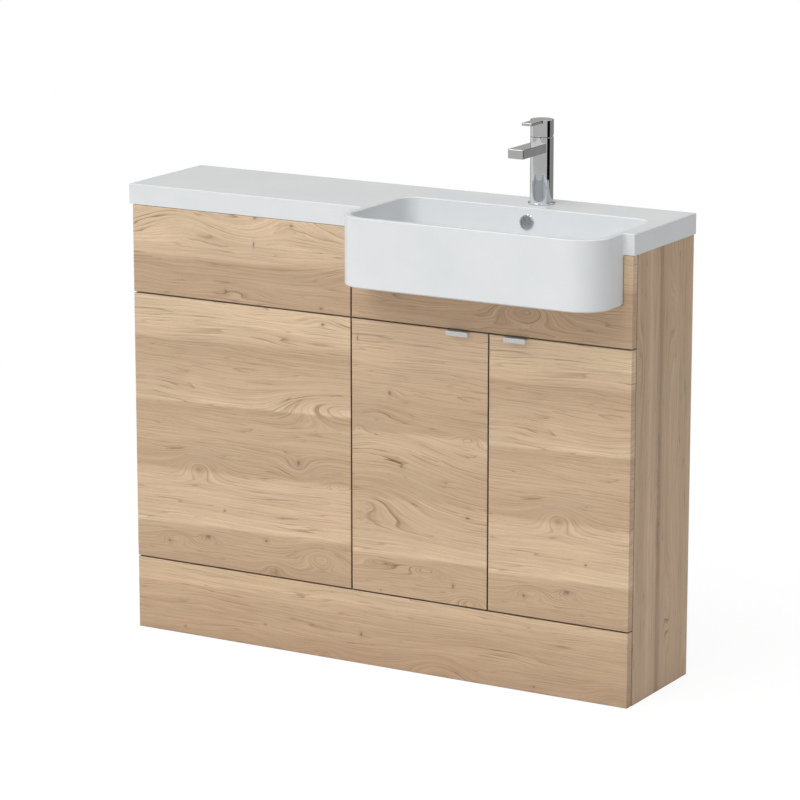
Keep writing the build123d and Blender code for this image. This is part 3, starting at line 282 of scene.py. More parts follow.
def oak_sheet(name, axes, origin, stops, hills, knots, slope=0.0, figure=0.45, pitch=9.0):
    """Oak print for one board, in mm from its own corner.

    axes names the directions along, across and through the board. stops gives the planks' named tones
    across it, hills its cathedral arcs as (along, across, reach along, reach across, lift), and knots as
    (along, across, half width, half height).
    """
    material, tree, shader = surface(name)
    place = node(tree, "ShaderNodeTexCoord", output="Object")
    split = node(tree, "ShaderNodeSeparateXYZ", {0: place}).node
    turned = node(tree, "ShaderNodeCombineXYZ",
                  {i: split.outputs["XYZ".index(a)] for i, a in enumerate(axes)})
    in_mm = node(tree, "ShaderNodeVectorMath", {0: turned, "Scale": 1 / MM}, operation="SCALE")
    point = node(tree, "ShaderNodeVectorMath",
                 {0: in_mm, 1: (origin[0], origin[1], 0.0)}, operation="SUBTRACT")

    # A slow wave keeps every line from running dead straight.
    wave_at = node(tree, "ShaderNodeVectorMath", {0: point, 1: (0.004, 0.012, 0.01)}, operation="MULTIPLY")
    wave = node(tree, "ShaderNodeTexNoise",
                {"Vector": wave_at, "Scale": 1.0, "Detail": 3.0, "Roughness": 0.45})
    parts = node(tree, "ShaderNodeSeparateXYZ", {0: point}).node
    field = node(tree, "ShaderNodeMath",
                 {0: wave, 1: GRAIN_WAVE, 2: parts.outputs[1]}, operation="MULTIPLY_ADD")
    near_any = None
    for along, across, reach_along, reach_across, lift in hills:
        hill = node(tree, "ShaderNodeGroup", {}, node_tree=bpy.data.node_groups["Grain hill"]).node
        tree.links.new(point, hill.inputs["Point"])
        hill.inputs["Centre"].default_value = (along, across, 0.0)
        hill.inputs["Reach"].default_value = (reach_along, reach_across, 1e6)
        hill.inputs["Lift"].default_value = -lift
        field = node(tree, "ShaderNodeMath", {0: field, 1: hill.outputs["Lift"]}, operation="ADD")
        near = hill.outputs["Near"]
        near_any = near if near_any is None else node(
            tree, "ShaderNodeMath", {0: near_any, 1: near}, operation="MAXIMUM")

    busy = node(tree, "ShaderNodeMapRange", {0: near_any, 1: 0.02, 2: 0.6, 3: figure, 4: 1.0},
                interpolation_type="SMOOTHSTEP")

    knot_any = None
    for along, across, half_width, half_height in knots:
        away = node(tree, "ShaderNodeVectorMath", {0: point, 1: (along, across, 0.0)}, operation="SUBTRACT")
        scaled = node(tree, "ShaderNodeVectorMath",
                      {0: away, 1: (1 / half_width, 1 / half_height, 0.0)}, operation="MULTIPLY")
        radius = node(tree, "ShaderNodeVectorMath", {0: scaled}, output=1, operation="LENGTH")
        core = node(tree, "ShaderNodeMapRange", {0: radius, 1: 1.25, 2: 0.35, 3: 0.0, 4: 0.7},
                    interpolation_type="SMOOTHSTEP")
        halo = node(tree, "ShaderNodeMapRange", {0: radius, 1: 3.2, 2: 0.6, 3: 0.0, 4: 0.14},
                    interpolation_type="SMOOTHSTEP")
        spot = node(tree, "ShaderNodeMath", {0: core, 1: halo}, operation="MAXIMUM")
        knot_any = spot if knot_any is None else node(
            tree, "ShaderNodeMath", {0: knot_any, 1: spot}, operation="MAXIMUM")

    # Planks are cut along the grain, so their tones follow the board with a slight slope and a wander.
    low, high = stops[0][0], stops[-1][0]
    sloped = node(tree, "ShaderNodeMath", {0: parts.outputs[0], 1: -slope, 2: parts.outputs[1]},
                  operation="MULTIPLY_ADD")
    edge_at = node(tree, "ShaderNodeVectorMath", {0: point, 1: (0.02, 0.05, 0.01)}, operation="MULTIPLY")
    edge = node(tree, "ShaderNodeTexNoise", {"Vector": edge_at, "Scale": 1.0, "Detail": 2.0})
    sloped = node(tree, "ShaderNodeMath", {0: edge, 1: EDGE_WANDER, 2: sloped}, operation="MULTIPLY_ADD")
    across_board = node(tree, "ShaderNodeMapRange",
                        {0: sloped, 1: low + EDGE_WANDER / 2, 2: high + EDGE_WANDER / 2})
    tone = node(tree, "ShaderNodeValToRGB", {0: across_board})
    set_stops(tone.node.color_ramp, [((at - low) / (high - low), code) for at, code in deepened(stops)])

    print_node = node(tree, "ShaderNodeGroup", {}, node_tree=bpy.data.node_groups["Oak print"]).node
    for label, value in (("Point", point), ("Field", field), ("Figure", busy), ("Tone", tone)):
        tree.links.new(value, print_node.inputs[label])
    if knot_any is not None:
        tree.links.new(knot_any, print_node.inputs["Knot"])
    print_node.inputs["Pitch"].default_value = pitch
    tree.links.new(print_node.outputs["Color"], shader.inputs["Base Color"])
    tree.links.new(print_node.outputs["Roughness"], shader.inputs["Roughness"])
    shader.inputs["Specular IOR Level"].default_value = 0.25
    relief = node(tree, "ShaderNodeBump",
                  {"Height": print_node.outputs["Height"], "Strength": 0.35, "Distance": 0.00008})
    tree.links.new(relief, shader.inputs["Normal"])
    return material


UPPER_STOPS = [(689, "tan"), (757, "tan"), (768, "honey"), (800, "straw"), (863, "straw")]
UPPER_HILLS = [(109, 852, 105, 44, 40), (367, 872, 110, 40, 44), (560, 770, 120, 24, 26),
               (690, 838, 70, 26, 40), (880, 745, 70, 28, 46), (240, 716, 70, 14, 18)]
UPPER_KNOTS = [(281, 809, 2.2, 6.0), (284, 861, 4.0, 2.5), (367, 853, 5.0, 3.0), (433, 698, 4.5, 2.5),
               (216, 711, 3.5, 3.0), (781, 806, 2.2, 5.0), (940, 772, 4.0, 3.0)]

LOWER_STOPS = [(149, "walnut"), (172, "tan"), (214, "tan"), (222, "fawn"), (227, "straw"), (250, "honey"),
               (331, "honey"), (339, "tan"), (366, "tan"), (420, "fawn"), (462, "tan"), (471, "tan"),
               (476, "straw"), (490, "honey"), (540, "fawn"), (590, "tan"), (597, "tan"), (603, "honey"),
               (640, "straw"), (686, "straw")]
LOWER_HILLS = [(470, 508, 130, 34, 50), (560, 506, 160, 36, 40), (150, 352, 46, 26, 40),
               (380, 372, 34, 22, -22), (478, 352, 34, 8, 20), (93, 199, 34, 13, 26), (169, 207, 26, 9, 20),
               (430, 205, 52, 24, 44), (323, 168, 30, 14, 18), (437, 676, 46, 18, 14),
               (90, 520, 120, 26, 18), (250, 640, 150, 22, 12)]
LOWER_KNOTS = [(437, 667, 5.0, 3.5), (380, 386, 4.0, 5.5), (208, 267, 3.5, 2.5), (77, 189, 3.5, 3.0),
               (305, 218, 4.0, 3.0), (169, 209, 8.0, 3.0)]

LEFT_DOOR_STOPS = [(149, "tan"), (220, "tan"), (228, "straw"), (240, "honey"), (300, "fawn"),
                   (334, "fawn"), (342, "tan"), (372, "tan"), (420, "fawn"), (466, "honey"), (473, "tan"),
                   (520, "tan"), (560, "fawn"), (594, "fawn"), (602, "honey"), (686, "honey")]
LEFT_DOOR_HILLS = [(28, 336, 130, 50, 58), (70, 440, 150, 60, 42), (14, 478, 26, 12, 22),
                   (258, 480, 36, 12, 22), (60, 512, 60, 14, 20), (168, 210, 42, 10, 24),
                   (262, 160, 40, 18, 32), (60, 214, 60, 10, 16), (84, 552, 24, 10, 10)]
LEFT_DOOR_KNOTS = [(13, 649, 2.0, 5.5), (84, 549, 3.5, 5.0), (255, 324, 6.0, 3.0), (224, 186, 3.0, 5.5),
                   (64, 155, 2.0, 1.6), (110, 408, 4.0, 3.0)]

PLINTH_STOPS = [(0, "umber"), (30, "walnut"), (62, "walnut"), (96, "tan"), (103, "fawn"), (146, "fawn")]
PLINTH_HILLS = [(250, -4, 62, 26, 44), (440, 4, 44, 18, 30), (692, 14, 62, 28, 36), (1078, 4, 52, 30, 48),
                (830, 60, 120, 20, 14), (150, 80, 110, 20, 12)]
PLINTH_KNOTS = [(112, 15, 3.0, 2.5), (301, 47, 3.0, 2.0), (521, 59, 3.5, 5.0), (902, 12, 3.0, 2.5)]

SIDE_STOPS = [(-80, "fawn"), (-40, "tan"), (-18, "tan"), (-4, "fawn"), (4, "honey"), (12, "fawn"),
              (36, "tan"), (41, "heart"), (50, "umber"), (58, "tan"), (110, "fawn"), (150, "tan"),
              (184, "honey")]
SIDE_HILLS = [(385, 44, 46, 9, 20), (265, 45, 36, 7, 17), (477, 46, 34, 6, 14), (640, -30, 90, 16, 20),
              (160, 100, 90, 18, 26), (720, 110, 120, 22, 30)]
SIDE_KNOTS = [(330, 46, 5.0, 2.0)]


def cast_marble():
    """Mineral marble casting: a polished white gel coat that drifts slightly, over a raw grey back."""
    material, tree, shader = surface("cast mineral marble, polished gel coat")
    place = node(tree, "ShaderNodeTexCoord", output="Object")
    cloud = node(tree, "ShaderNodeTexNoise", {"Vector": place, "Scale": 9.0, "Detail": 3.0})
    coat = node(tree, "ShaderNodeValToRGB", {0: cloud})
    set_stops(coat.node.color_ramp, [(0.3, "DADDDF"), (0.7, "DFE1E2")])
    # Below the slab the casting was scraped level: matt, greyer and speckled with marble grit.
    grit = node(tree, "ShaderNodeTexVoronoi", {"Vector": place, "Scale": 420.0}, output="Distance")
    raw = node(tree, "ShaderNodeValToRGB", {0: grit})
    set_stops(raw.node.color_ramp, [(0.1, "B7B5AF"), (0.6, "CFCDC7")])
    normal = node(tree, "ShaderNodeTexCoord", output="Normal")
    facing = node(tree, "ShaderNodeSeparateXYZ", {0: normal}, output=2)
    below = node(tree, "ShaderNodeMapRange", {0: facing, 1: -0.5, 2: -0.8})
    colour = node(tree, "ShaderNodeMix", {0: below, 6: coat, 7: raw}, output=2, data_type="RGBA")
    tree.links.new(colour, shader.inputs["Base Color"])
    rough = node(tree, "ShaderNodeMapRange", {0: below, 3: 0.16, 4: 0.75})
    tree.links.new(rough, shader.inputs["Roughness"])
    shader.inputs["Specular IOR Level"].default_value = 0.2
    # A sprayed gel coat keeps a very shallow wave about 25 mm long.
    swell = node(tree, "ShaderNodeTexNoise", {"Vector": place, "Scale": 40.0, "Detail": 1.0})
    relief = node(tree, "ShaderNodeBump", {"Height": swell, "Strength": 0.25, "Distance": 0.0001})
    tree.links.new(relief, shader.inputs["Normal"])
    return material


def metal(name, light, dark, rough, stretch, scale, relief=0.0, distance=0.00002):
    """A bare or plated metal whose tone, gloss and relief follow one stretched noise."""
    material, tree, shader = surface(name)
    shader.inputs["Metallic"].default_value = 1.0
    place = node(tree, "ShaderNodeTexCoord", output="Object")
    drawn = node(tree, "ShaderNodeVectorMath", {0: place, 1: stretch}, operation="MULTIPLY")
    grain = node(tree, "ShaderNodeTexNoise", {"Vector": drawn, "Scale": scale, "Detail": 4.0})
    tone = node(tree, "ShaderNodeValToRGB", {0: grain})
    set_stops(tone.node.color_ramp, [(0.3, dark), (0.7, light)])
    tree.links.new(tone, shader.inputs["Base Color"])
    gloss = node(tree, "ShaderNodeMapRange", {0: grain, 1: 0.3, 2: 0.7, 3: rough[1], 4: rough[0]})
    tree.links.new(gloss, shader.inputs["Roughness"])
    if relief:
        bump = node(tree, "ShaderNodeBump", {"Height": grain, "Strength": relief, "Distance": distance})
        tree.links.new(bump, shader.inputs["Normal"])
    return material


def moulded(name, light, dark, rough, scale, relief=0.2, clear=0.0):
    """Moulded plastic or rubber: an even tone with the fine spark texture of its mould."""
    material, tree, shader = surface(name)
    place = node(tree, "ShaderNodeTexCoord", output="Object")
    flow = node(tree, "ShaderNodeTexNoise", {"Vector": place, "Scale": 60.0, "Detail": 2.0})
    tone = node(tree, "ShaderNodeValToRGB", {0: flow})
    set_stops(tone.node.color_ramp, [(0.3, dark), (0.7, light)])
    tree.links.new(tone, shader.inputs["Base Color"])
    spark = node(tree, "ShaderNodeTexNoise", {"Vector": place, "Scale": scale, "Detail": 2.0})
    gloss = node(tree, "ShaderNodeMapRange", {0: spark, 1: 0.3, 2: 0.7, 3: rough + 0.05, 4: rough - 0.05})
    tree.links.new(gloss, shader.inputs["Roughness"])
    bump = node(tree, "ShaderNodeBump", {"Height": spark, "Strength": relief, "Distance": 0.00005})
    tree.links.new(bump, shader.inputs["Normal"])
    shader.inputs["Transmission Weight"].default_value = clear
    return material


class UnitStageSettings(bpy.types.PropertyGroup):
    """Light and camera of the studio."""
    key_strength: bpy.props.FloatProperty(
        name="Key strength", description="Strength of the broad far lamp at the front left, in W/m2",
        default=0.82, min=0.0)
    fill_strength: bpy.props.FloatProperty(
        name="Fill strength", description="Strength of the shadowless lamp above, in W/m2",
        default=1.5, min=0.0)
    ambient: bpy.props.FloatProperty(
        name="Ambient", description="Strength of the even light from all round", default=0.47, min=0.0)
    lens: bpy.props.FloatProperty(
        name="Lens", description="Focal length of the camera", default=165.508, min=1.0,
        subtype="DISTANCE_CAMERA", unit="CAMERA")
    floor_radius: bpy.props.FloatProperty(
        name="Floor radius", description="Radius of the pale floor", default=6.0, min=1.0,
        subtype="DISTANCE", unit="LENGTH")


class UnitOakSettings(bpy.types.PropertyGroup):
    """Oak print of the boards."""
    ring_pitch: bpy.props.FloatProperty(
        name="Ring pitch", description="Mean distance between strong growth rings", default=0.0075,
        min=0.001, subtype="DISTANCE", unit="LENGTH")
    figure: bpy.props.FloatProperty(
        name="Figure", description="Strength of the rings away from the arcs", default=0.6, min=0.0,
        max=1.0, subtype="FACTOR")


class UNIT_OT_stage(bpy.types.Operator):
    """Set up the camera, the lamps, the floor and the white surround"""
    bl_idname = "unit.stage"
    bl_label = "Build the studio"

    def execute(self, context):
        settings = context.scene.unit_stage
        camera = bpy.data.objects.new("camera", bpy.data.cameras.new("camera"))
        camera.data.lens = settings.lens
        camera.data.sensor_width = 36.0
        camera.data.clip_end = 60.0
        camera.location = CAMERA_PLACE
        turn, tilt = math.radians(CAMERA_TURN), math.radians(CAMERA_TILT)
        view = Vector((-math.sin(turn) * math.cos(tilt), math.cos(turn) * math.cos(tilt), -math.sin(tilt)))
        camera.rotation_euler = view.to_track_quat("-Z", "Y").to_euler()
        context.collection.objects.link(camera)
        context.scene.camera = camera

        # A far lamp lights the whole width alike, and its broad disc keeps the shadows soft.
        add_sun(context, "key lamp", settings.key_strength, 40, (-0.24, -0.50, 0.66))
        # A lamp without shadows stands for the white room that fills in under the basin.
        add_sun(context, "fill lamp", settings.fill_strength, 60, (-0.16, -0.55, 0.80), shadow=False)

        build_floor(context, settings.floor_radius)
        build_drum(context)
        build_world(context, settings.ambient)
        context.scene.view_settings.view_transform = "Standard"
        return {"FINISHED"}


def add_sun(context, name, strength, spread, direction, shadow=True):
    """Adds a far lamp that shines from a direction, its disc spread over some degrees."""
    lamp = bpy.data.lights.new(name, "SUN")
    lamp.angle = math.radians(spread)
    lamp.energy = strength
    lamp.use_shadow = shadow
    sun = bpy.data.objects.new(name, lamp)
    toward = Vector(direction).normalized()
    sun.location = 4.0 * toward
    sun.rotation_euler = toward.to_track_quat("Z", "Y").to_euler()
    context.collection.objects.link(sun)


def ray_seen(tree):
    """One for rays from the camera, a reflection or clear material, and nought for the rest."""
    path = node(tree, "ShaderNodeLightPath").node
    seen = node(tree, "ShaderNodeMath",
                {0: path.outputs["Is Camera Ray"], 1: path.outputs["Is Glossy Ray"]}, operation="MAXIMUM")
    return node(tree, "ShaderNodeMath",
                {0: seen, 1: path.outputs["Is Transmission Ray"]}, operation="MAXIMUM")


def build_world(context, ambient):
    """White all round for what is seen, and an even grey light on the object."""
    world = bpy.data.worlds.new("white studio")
    world.use_nodes = True
    tree = world.node_tree
    tree.nodes.clear()
    lit = node(tree, "ShaderNodeBackground", {"Color": srgb("FFFFFF"), "Strength": ambient})
    white = node(tree, "ShaderNodeBackground", {"Color": srgb("FFFFFF"), "Strength": 1.0})
    mixed = node(tree, "ShaderNodeMixShader", {0: ray_seen(tree), 1: lit, 2: white})
    out = tree.nodes.new("ShaderNodeOutputWorld")
    tree.links.new(mixed, out.inputs["Surface"])
    context.scene.world = world


def build_floor(context, radius):
    """A round pale floor: white to the camera but for the object's faint shadow."""
    mesh = bpy.data.meshes.new("floor")
    form = bmesh.new()
    bmesh.ops.create_circle(form, cap_ends=True, segments=96, radius=radius)
    form.to_mesh(mesh)
    form.free()
    floor = bpy.data.objects.new("floor", mesh)
    floor.location = (0.0, 0.0, -0.0004)
    context.collection.objects.link(floor)
    material = bpy.data.materials.new("pale painted floor")
    material.use_nodes = True
    tree = material.node_tree
    tree.nodes.clear()
    paint = node(tree, "ShaderNodeBsdfDiffuse", {"Color": (0.78, 0.78, 0.78, 1)})
    faint = node(tree, "ShaderNodeBsdfDiffuse", {"Color": (0.13, 0.13, 0.13, 1)})
    glow = node(tree, "ShaderNodeEmission", {"Color": srgb("FFFFFF"), "Strength": 0.88})
    shadowed = node(tree, "ShaderNodeAddShader", {0: faint, 1: glow})
    white = node(tree, "ShaderNodeEmission", {"Color": srgb("FFFFFF"), "Strength": 1.0})
    place = node(tree, "ShaderNodeTexCoord", output="Object")
    away = node(tree, "ShaderNodeVectorMath", {0: place}, output=1, operation="LENGTH")
    far = node(tree, "ShaderNodeMapRange", {0: away, 1: 0.8, 2: 2.4}, interpolation_type="SMOOTHSTEP")
    seen = node(tree, "ShaderNodeMixShader", {0: far, 1: shadowed, 2: white})
    both = node(tree, "ShaderNodeMixShader", {0: ray_seen(tree), 1: paint, 2: seen})
    out = tree.nodes.new("ShaderNodeOutputMaterial")
    tree.links.new(both, out.inputs["Surface"])
    mesh.materials.append(material)


def build_drum(context):
    """Grey and black cards round the object, seen only in reflections, which give chrome its dark edges."""
    cards = [
        # from and to angle in degrees, 0 in front and 90 on the right, low and high edge, grey
        (-75, 82, -0.02, 1.45, 0.58), (82, 112, -0.02, 2.6, 0.004), (112, 178, -0.02, 1.76, 0.30),
        (178, 250, -0.02, 1.76, 0.45), (-110, -75, -0.02, 1.45, 0.85), (112, 262, 1.76, 2.9, 0.003),
    ]
    for number, (start, end, low, high, grey) in enumerate(cards):
        form = bmesh.new()
        steps = max(3, round((end - start) / DRUM_STEP))
        rows = []
        for step in range(steps + 1):
            angle = math.radians(start + (end - start) * step / steps)
            x, y = DRUM_RADIUS * math.sin(angle), -DRUM_RADIUS * math.cos(angle)
            rows.append((form.verts.new((x, y, low)), form.verts.new((x, y, high))))
        for (a, b), (c, d) in zip(rows, rows[1:]):
            form.faces.new((a, c, d, b))
        mesh = bpy.data.meshes.new(f"reflected_card_{number}")
        form.to_mesh(mesh)
        form.free()
        card = bpy.data.objects.new(f"reflected_card_{number}", mesh)
        context.collection.objects.link(card)
        card.visible_camera = False
        card.visible_diffuse = False
        card.visible_shadow = False
        card.visible_transmission = False
        material = bpy.data.materials.new(f"studio card {number}")
        material.use_nodes = True
        tree = material.node_tree
        tree.nodes.clear()
        tint = (grey, grey * 0.985, grey * 0.95, 1)
        glow = node(tree, "ShaderNodeEmission", {"Color": tint, "Strength": 1.0})
        out = tree.nodes.new("ShaderNodeOutputMaterial")
        tree.links.new(glow, out.inputs["Surface"])
        mesh.materials.append(material)


class UNIT_OT_oak_boards(bpy.types.Operator):
    """Lay the oak print on the fronts, the plinth and the sides, each from its own stretch of the sheet"""
    bl_idname = "unit.oak_boards"
    bl_label = "Oak boards"

    def execute(self, context):
        settings = context.scene.unit_oak
        hill_group()
        oak_group()
        pitch, figure = settings.ring_pitch / MM, settings.figure
        front = {"axes": "XZY", "figure": figure, "pitch": pitch, "slope": 0.03}
        upper = oak_sheet("oak print, upper front", origin=(UNIT_LEFT, 0), stops=UPPER_STOPS,
                          hills=UPPER_HILLS, knots=UPPER_KNOTS, **front)
        lower = oak_sheet("oak print, lower left front", origin=(UNIT_LEFT, 0), stops=LOWER_STOPS,
                          hills=LOWER_HILLS, knots=LOWER_KNOTS, **front)
        left = oak_sheet("oak print, left door", origin=(DOOR_LEFT, 0), stops=LEFT_DOOR_STOPS,
                         hills=LEFT_DOOR_HILLS, knots=LEFT_DOOR_KNOTS, **front)
        right = oak_sheet("oak print, right door", origin=(RIGHT_DOOR_LEFT, 0), stops=LOWER_STOPS,
                          hills=LOWER_HILLS, knots=LOWER_KNOTS, **front)
        base = oak_sheet("oak print, plinth", origin=(UNIT_LEFT, 0), stops=PLINTH_STOPS,
                         hills=PLINTH_HILLS, knots=PLINTH_KNOTS, **front)
        upright = oak_sheet("oak print, upright sides", axes="ZYX", origin=(0, 0), stops=SIDE_STOPS,
                            hills=SIDE_HILLS, knots=SIDE_KNOTS, figure=figure, pitch=pitch * 0.8)
        placed = {"access_panel": upper, "vanity_fascia": upper, "wc_lower_panel": lower,
                  "left_door": left, "right_door": right, "plinth": base, "wc_left_side": upright,
                  "wc_right_side": upright, "vanity_left_side": upright, "vanity_right_side": upright}
        missing = sorted(set(nodes_of("oak_board")) - set(placed))
        if missing:
            raise RuntimeError(f"no print is chosen for {missing}")
        for name, material in placed.items():
            dress([name], material)
        return {"FINISHED"}


class UNIT_OT_inner_boards(bpy.types.Operator):
    """Finish the rails and the base inside the carcass in the plain board that nobody sees from outside"""
    bl_idname = "unit.inner_boards"
    bl_label = "Inner boards"

    def execute(self, context):
        plain = oak_sheet("plain oak-tone melamine", axes="XZY", origin=(0, 0),
                          stops=[(0, "fawn"), (864, "honey")], hills=[(300, 400, 300, 80, 10)],
                          knots=[(900, 900, 2.0, 2.0)], figure=0.12, pitch=7.0)
        dress(nodes_of("plain_board"), plain)
        return {"FINISHED"}


class UNIT_OT_basin_top(bpy.types.Operator):
    """Finish the cast top with its basin in polished white gel coat"""
    bl_idname = "unit.basin_top"
    bl_label = "Cast basin top"

    def execute(self, context):
        dress(nodes_of("cast_marble"), cast_marble())
        return {"FINISHED"}


class UNIT_OT_chrome(bpy.types.Operator):
    """Plate the tap, the waste and the overflow ring in polished chrome"""
    bl_idname = "unit.chrome"
    bl_label = "Chrome pieces"

    def execute(self, context):
        # Chrome is polished before plating, so only a faint haze breaks its mirror.
        chrome = metal("chrome plate, mirror polished", "DADCDE", "D2D4D7", (0.035, 0.06), (1, 1, 1), 30.0)
        dress(nodes_of("chrome_plate"), chrome)
        return {"FINISHED"}


class UNIT_OT_fittings(bpy.types.Operator):
    """Finish handles, hinges, fixings, brass, plastic and rubber pieces"""
    bl_idname = "unit.fittings"
    bl_label = "Fittings"

    def execute(self, context):
        # Anodised aluminium is brushed along the pull, so its streaks run with X.
        dress(nodes_of("satin_aluminium"),
              metal("aluminium, satin anodised", "D3D4D4", "C6C7C8", (0.34, 0.42), (0.05, 1, 1), 900.0, 0.3))
        # Zinc plate is bright with a slightly mottled, bluish passivation.
        dress(nodes_of("bright_steel"),
              metal("steel, bright zinc plated", "C9CCD2", "B2B5BA", (0.24, 0.36), (1, 1, 1), 260.0, 0.15))
        # Die-cast zinc is dull, with the grain of its die.
        dress(nodes_of("cast_zinc"),
              metal("zinc alloy, as cast", "B4B6B9", "96999D", (0.42, 0.58), (1, 1, 1), 900.0, 0.4, 0.00004))
        # Turned brass shows fine rings from the tool, level with the lathe's cut.
        dress(nodes_of("turned_brass"),
              metal("brass, turned", "D2B36B", "B8974F", (0.2, 0.32), (0.05, 0.05, 1), 2400.0, 0.3))
        # Painted shade: the nut under the tap's handle gets a near-black brass so that its gap reads as a
        # dark line.
        dress(["tap_retaining_nut"],
              metal("brass, darkened as painted shade", "4E4638", "3E382E", (0.4, 0.55), (0.05, 0.05, 1), 2400.0, 0.3))
        dress(nodes_of("grey_plastic"), moulded("grey acetal, moulded", "9A9C9E", "8E9092", 0.42, 1800.0))
        dress(nodes_of("white_plastic"), moulded("white nylon, moulded", "E4E4E0", "DADAD6", 0.45, 1800.0))
        dress(nodes_of("black_rubber"), moulded("black rubber, moulded", "232323", "1A1A1A", 0.72, 900.0))
        dress(nodes_of("clear_rubber"),
              moulded("clear polyurethane, moulded", "E6E7E3", "DDDEDA", 0.3, 900.0, 0.1, 0.6))
        return {"FINISHED"}


def islands(name):
    """The corners of each loose piece of a CAD node, as one array a piece, in the same order each run."""
    form = bmesh.new()
    form.from_mesh(frame["nodes"][name].data)
    bmesh.ops.remove_doubles(form, verts=form.verts, dist=1e-6)
    left, found = set(form.verts), []
    while left:
        reached, queue = set(), [left.pop()]
        while queue:
            corner = queue.pop()
            reached.add(corner)
            for edge in corner.link_edges:
                other = edge.other_vert(corner)
                if other in left:
                    left.discard(other)
                    queue.append(other)
        found.append(np.array(sorted(tuple(corner.co) for corner in reached)))
    form.free()
    return sorted(found, key=lambda corners: tuple(corners.mean(axis=0).round(6)))


def seat_of(corners):
    """Head end, direction from head to tip, length and the head's and shank's radius of one screw."""
    middle = (corners.min(0) + corners.max(0)) / 2
    axis = np.zeros(3)
    axis[int(np.argmax(np.ptp(corners, axis=0)))] = 1.0
    along = (corners - middle) @ axis
    wide = np.linalg.norm(corners - middle - along[:, None] * axis, axis=1)
    if along[wide.argmax()] > 0:
        axis, along = -axis, -along
    length = float(np.ptp(along))
    shank = wide[along > along.max() - 0.25 * length]
    return middle - axis * length / 2, axis, length, float(wide.max()), float(shank.max())


def tree_sockets(tree, sockets):
    """Adds named inputs to a geometry tree and returns {label: identifier}."""
    tree.interface.new_socket("Geometry", in_out="INPUT", socket_type="NodeSocketGeometry")
    tree.interface.new_socket("Geometry", in_out="OUTPUT", socket_type="NodeSocketGeometry")
    return {label: tree.interface.new_socket(label, in_out="INPUT", socket_type=kind).identifier
            for label, kind in sockets}


def screw_tree():
    """Cross-head screws on points: a pan head with its recess, and a shank with a wound thread."""
    tree = bpy.data.node_groups.new("Cross-head screws", "GeometryNodeTree")
    sockets = tree_sockets(tree, [
        ("Head radius", "NodeSocketFloat"), ("Head height", "NodeSocketFloat"),
        ("Shank radius", "NodeSocketFloat"), ("Length", "NodeSocketFloat"),
        ("Recess width", "NodeSocketFloat"), ("Turns", "NodeSocketFloat"), ("Finish", "NodeSocketMaterial")])
    given = tree.nodes.new("NodeGroupInput").outputs
    face = node(tree, "ShaderNodeMath", {0: given["Head radius"], 1: HEAD_FACE}, operation="MULTIPLY")
    head = node(tree, "GeometryNodeMeshCone", {
        "Vertices": 24, "Radius Top": given["Head radius"], "Radius Bottom": face,
        "Depth": given["Head height"]})
    arm = node(tree, "ShaderNodeMath", {0: given["Head radius"], 1: CROSS_LENGTH}, operation="MULTIPLY")
    bars = []
    for order in ((arm, given["Recess width"]), (given["Recess width"], arm)):
        size = node(tree, "ShaderNodeCombineXYZ", {0: order[0], 1: order[1], 2: given["Head height"]})
        bars.append(node(tree, "GeometryNodeMeshCube", {"Size": size}))
    cross = node(tree, "GeometryNodeMeshBoolean", {}, operation="UNION").node
    for bar in bars:
        tree.links.new(bar, cross.inputs[1])
    recessed = node(tree, "GeometryNodeMeshBoolean", {0: head}, operation="DIFFERENCE").node
    tree.links.new(cross.outputs[0], recessed.inputs[1])
    rest = node(tree, "ShaderNodeMath", {0: given["Length"], 1: given["Head height"]}, operation="SUBTRACT")
    stem = node(tree, "GeometryNodeMeshCone", {
        "Vertices": 16, "Radius Top": given["Shank radius"], "Radius Bottom": given["Shank radius"],
        "Depth": rest})
    down = node(tree, "ShaderNodeCombineXYZ", {2: given["Head height"]})
    stem = node(tree, "GeometryNodeTransform", {"Geometry": stem, "Translation": down})
    winding = node(tree, "GeometryNodeCurveSpiral", {
        "Resolution": 12, "Rotations": given["Turns"], "Start Radius": given["Shank radius"],
        "End Radius": given["Shank radius"], "Height": rest})
    winding = node(tree, "GeometryNodeTransform", {"Geometry": winding, "Translation": down})
    crest = node(tree, "ShaderNodeMath", {0: given["Shank radius"], 1: THREAD_CREST}, operation="MULTIPLY")
    profile = node(tree, "GeometryNodeCurvePrimitiveCircle", {"Resolution": 4, "Radius": crest})
    thread = node(tree, "GeometryNodeCurveToMesh", {0: winding, 1: profile, "Fill Caps": True})
    whole = node(tree, "GeometryNodeJoinGeometry", {}).node
    for piece in (recessed.outputs[0], stem, thread):
        tree.links.new(piece, whole.inputs[0])
    axis = node(tree, "GeometryNodeInputNamedAttribute", {"Name": "axis"}, data_type="FLOAT_VECTOR")
    turn = node(tree, "FunctionNodeAlignRotationToVector", {"Vector": axis}, axis="Z")
    placed = node(tree, "GeometryNodeInstanceOnPoints", {
        "Points": given["Geometry"], "Instance": whole.outputs[0], "Rotation": turn})
    made = node(tree, "GeometryNodeRealizeInstances", {0: placed})
    finished = node(tree, "GeometryNodeSetMaterial", {0: made, "Material": given["Finish"]})
    tree.links.new(finished, tree.nodes.new("NodeGroupOutput").inputs[0])
    return tree, sockets


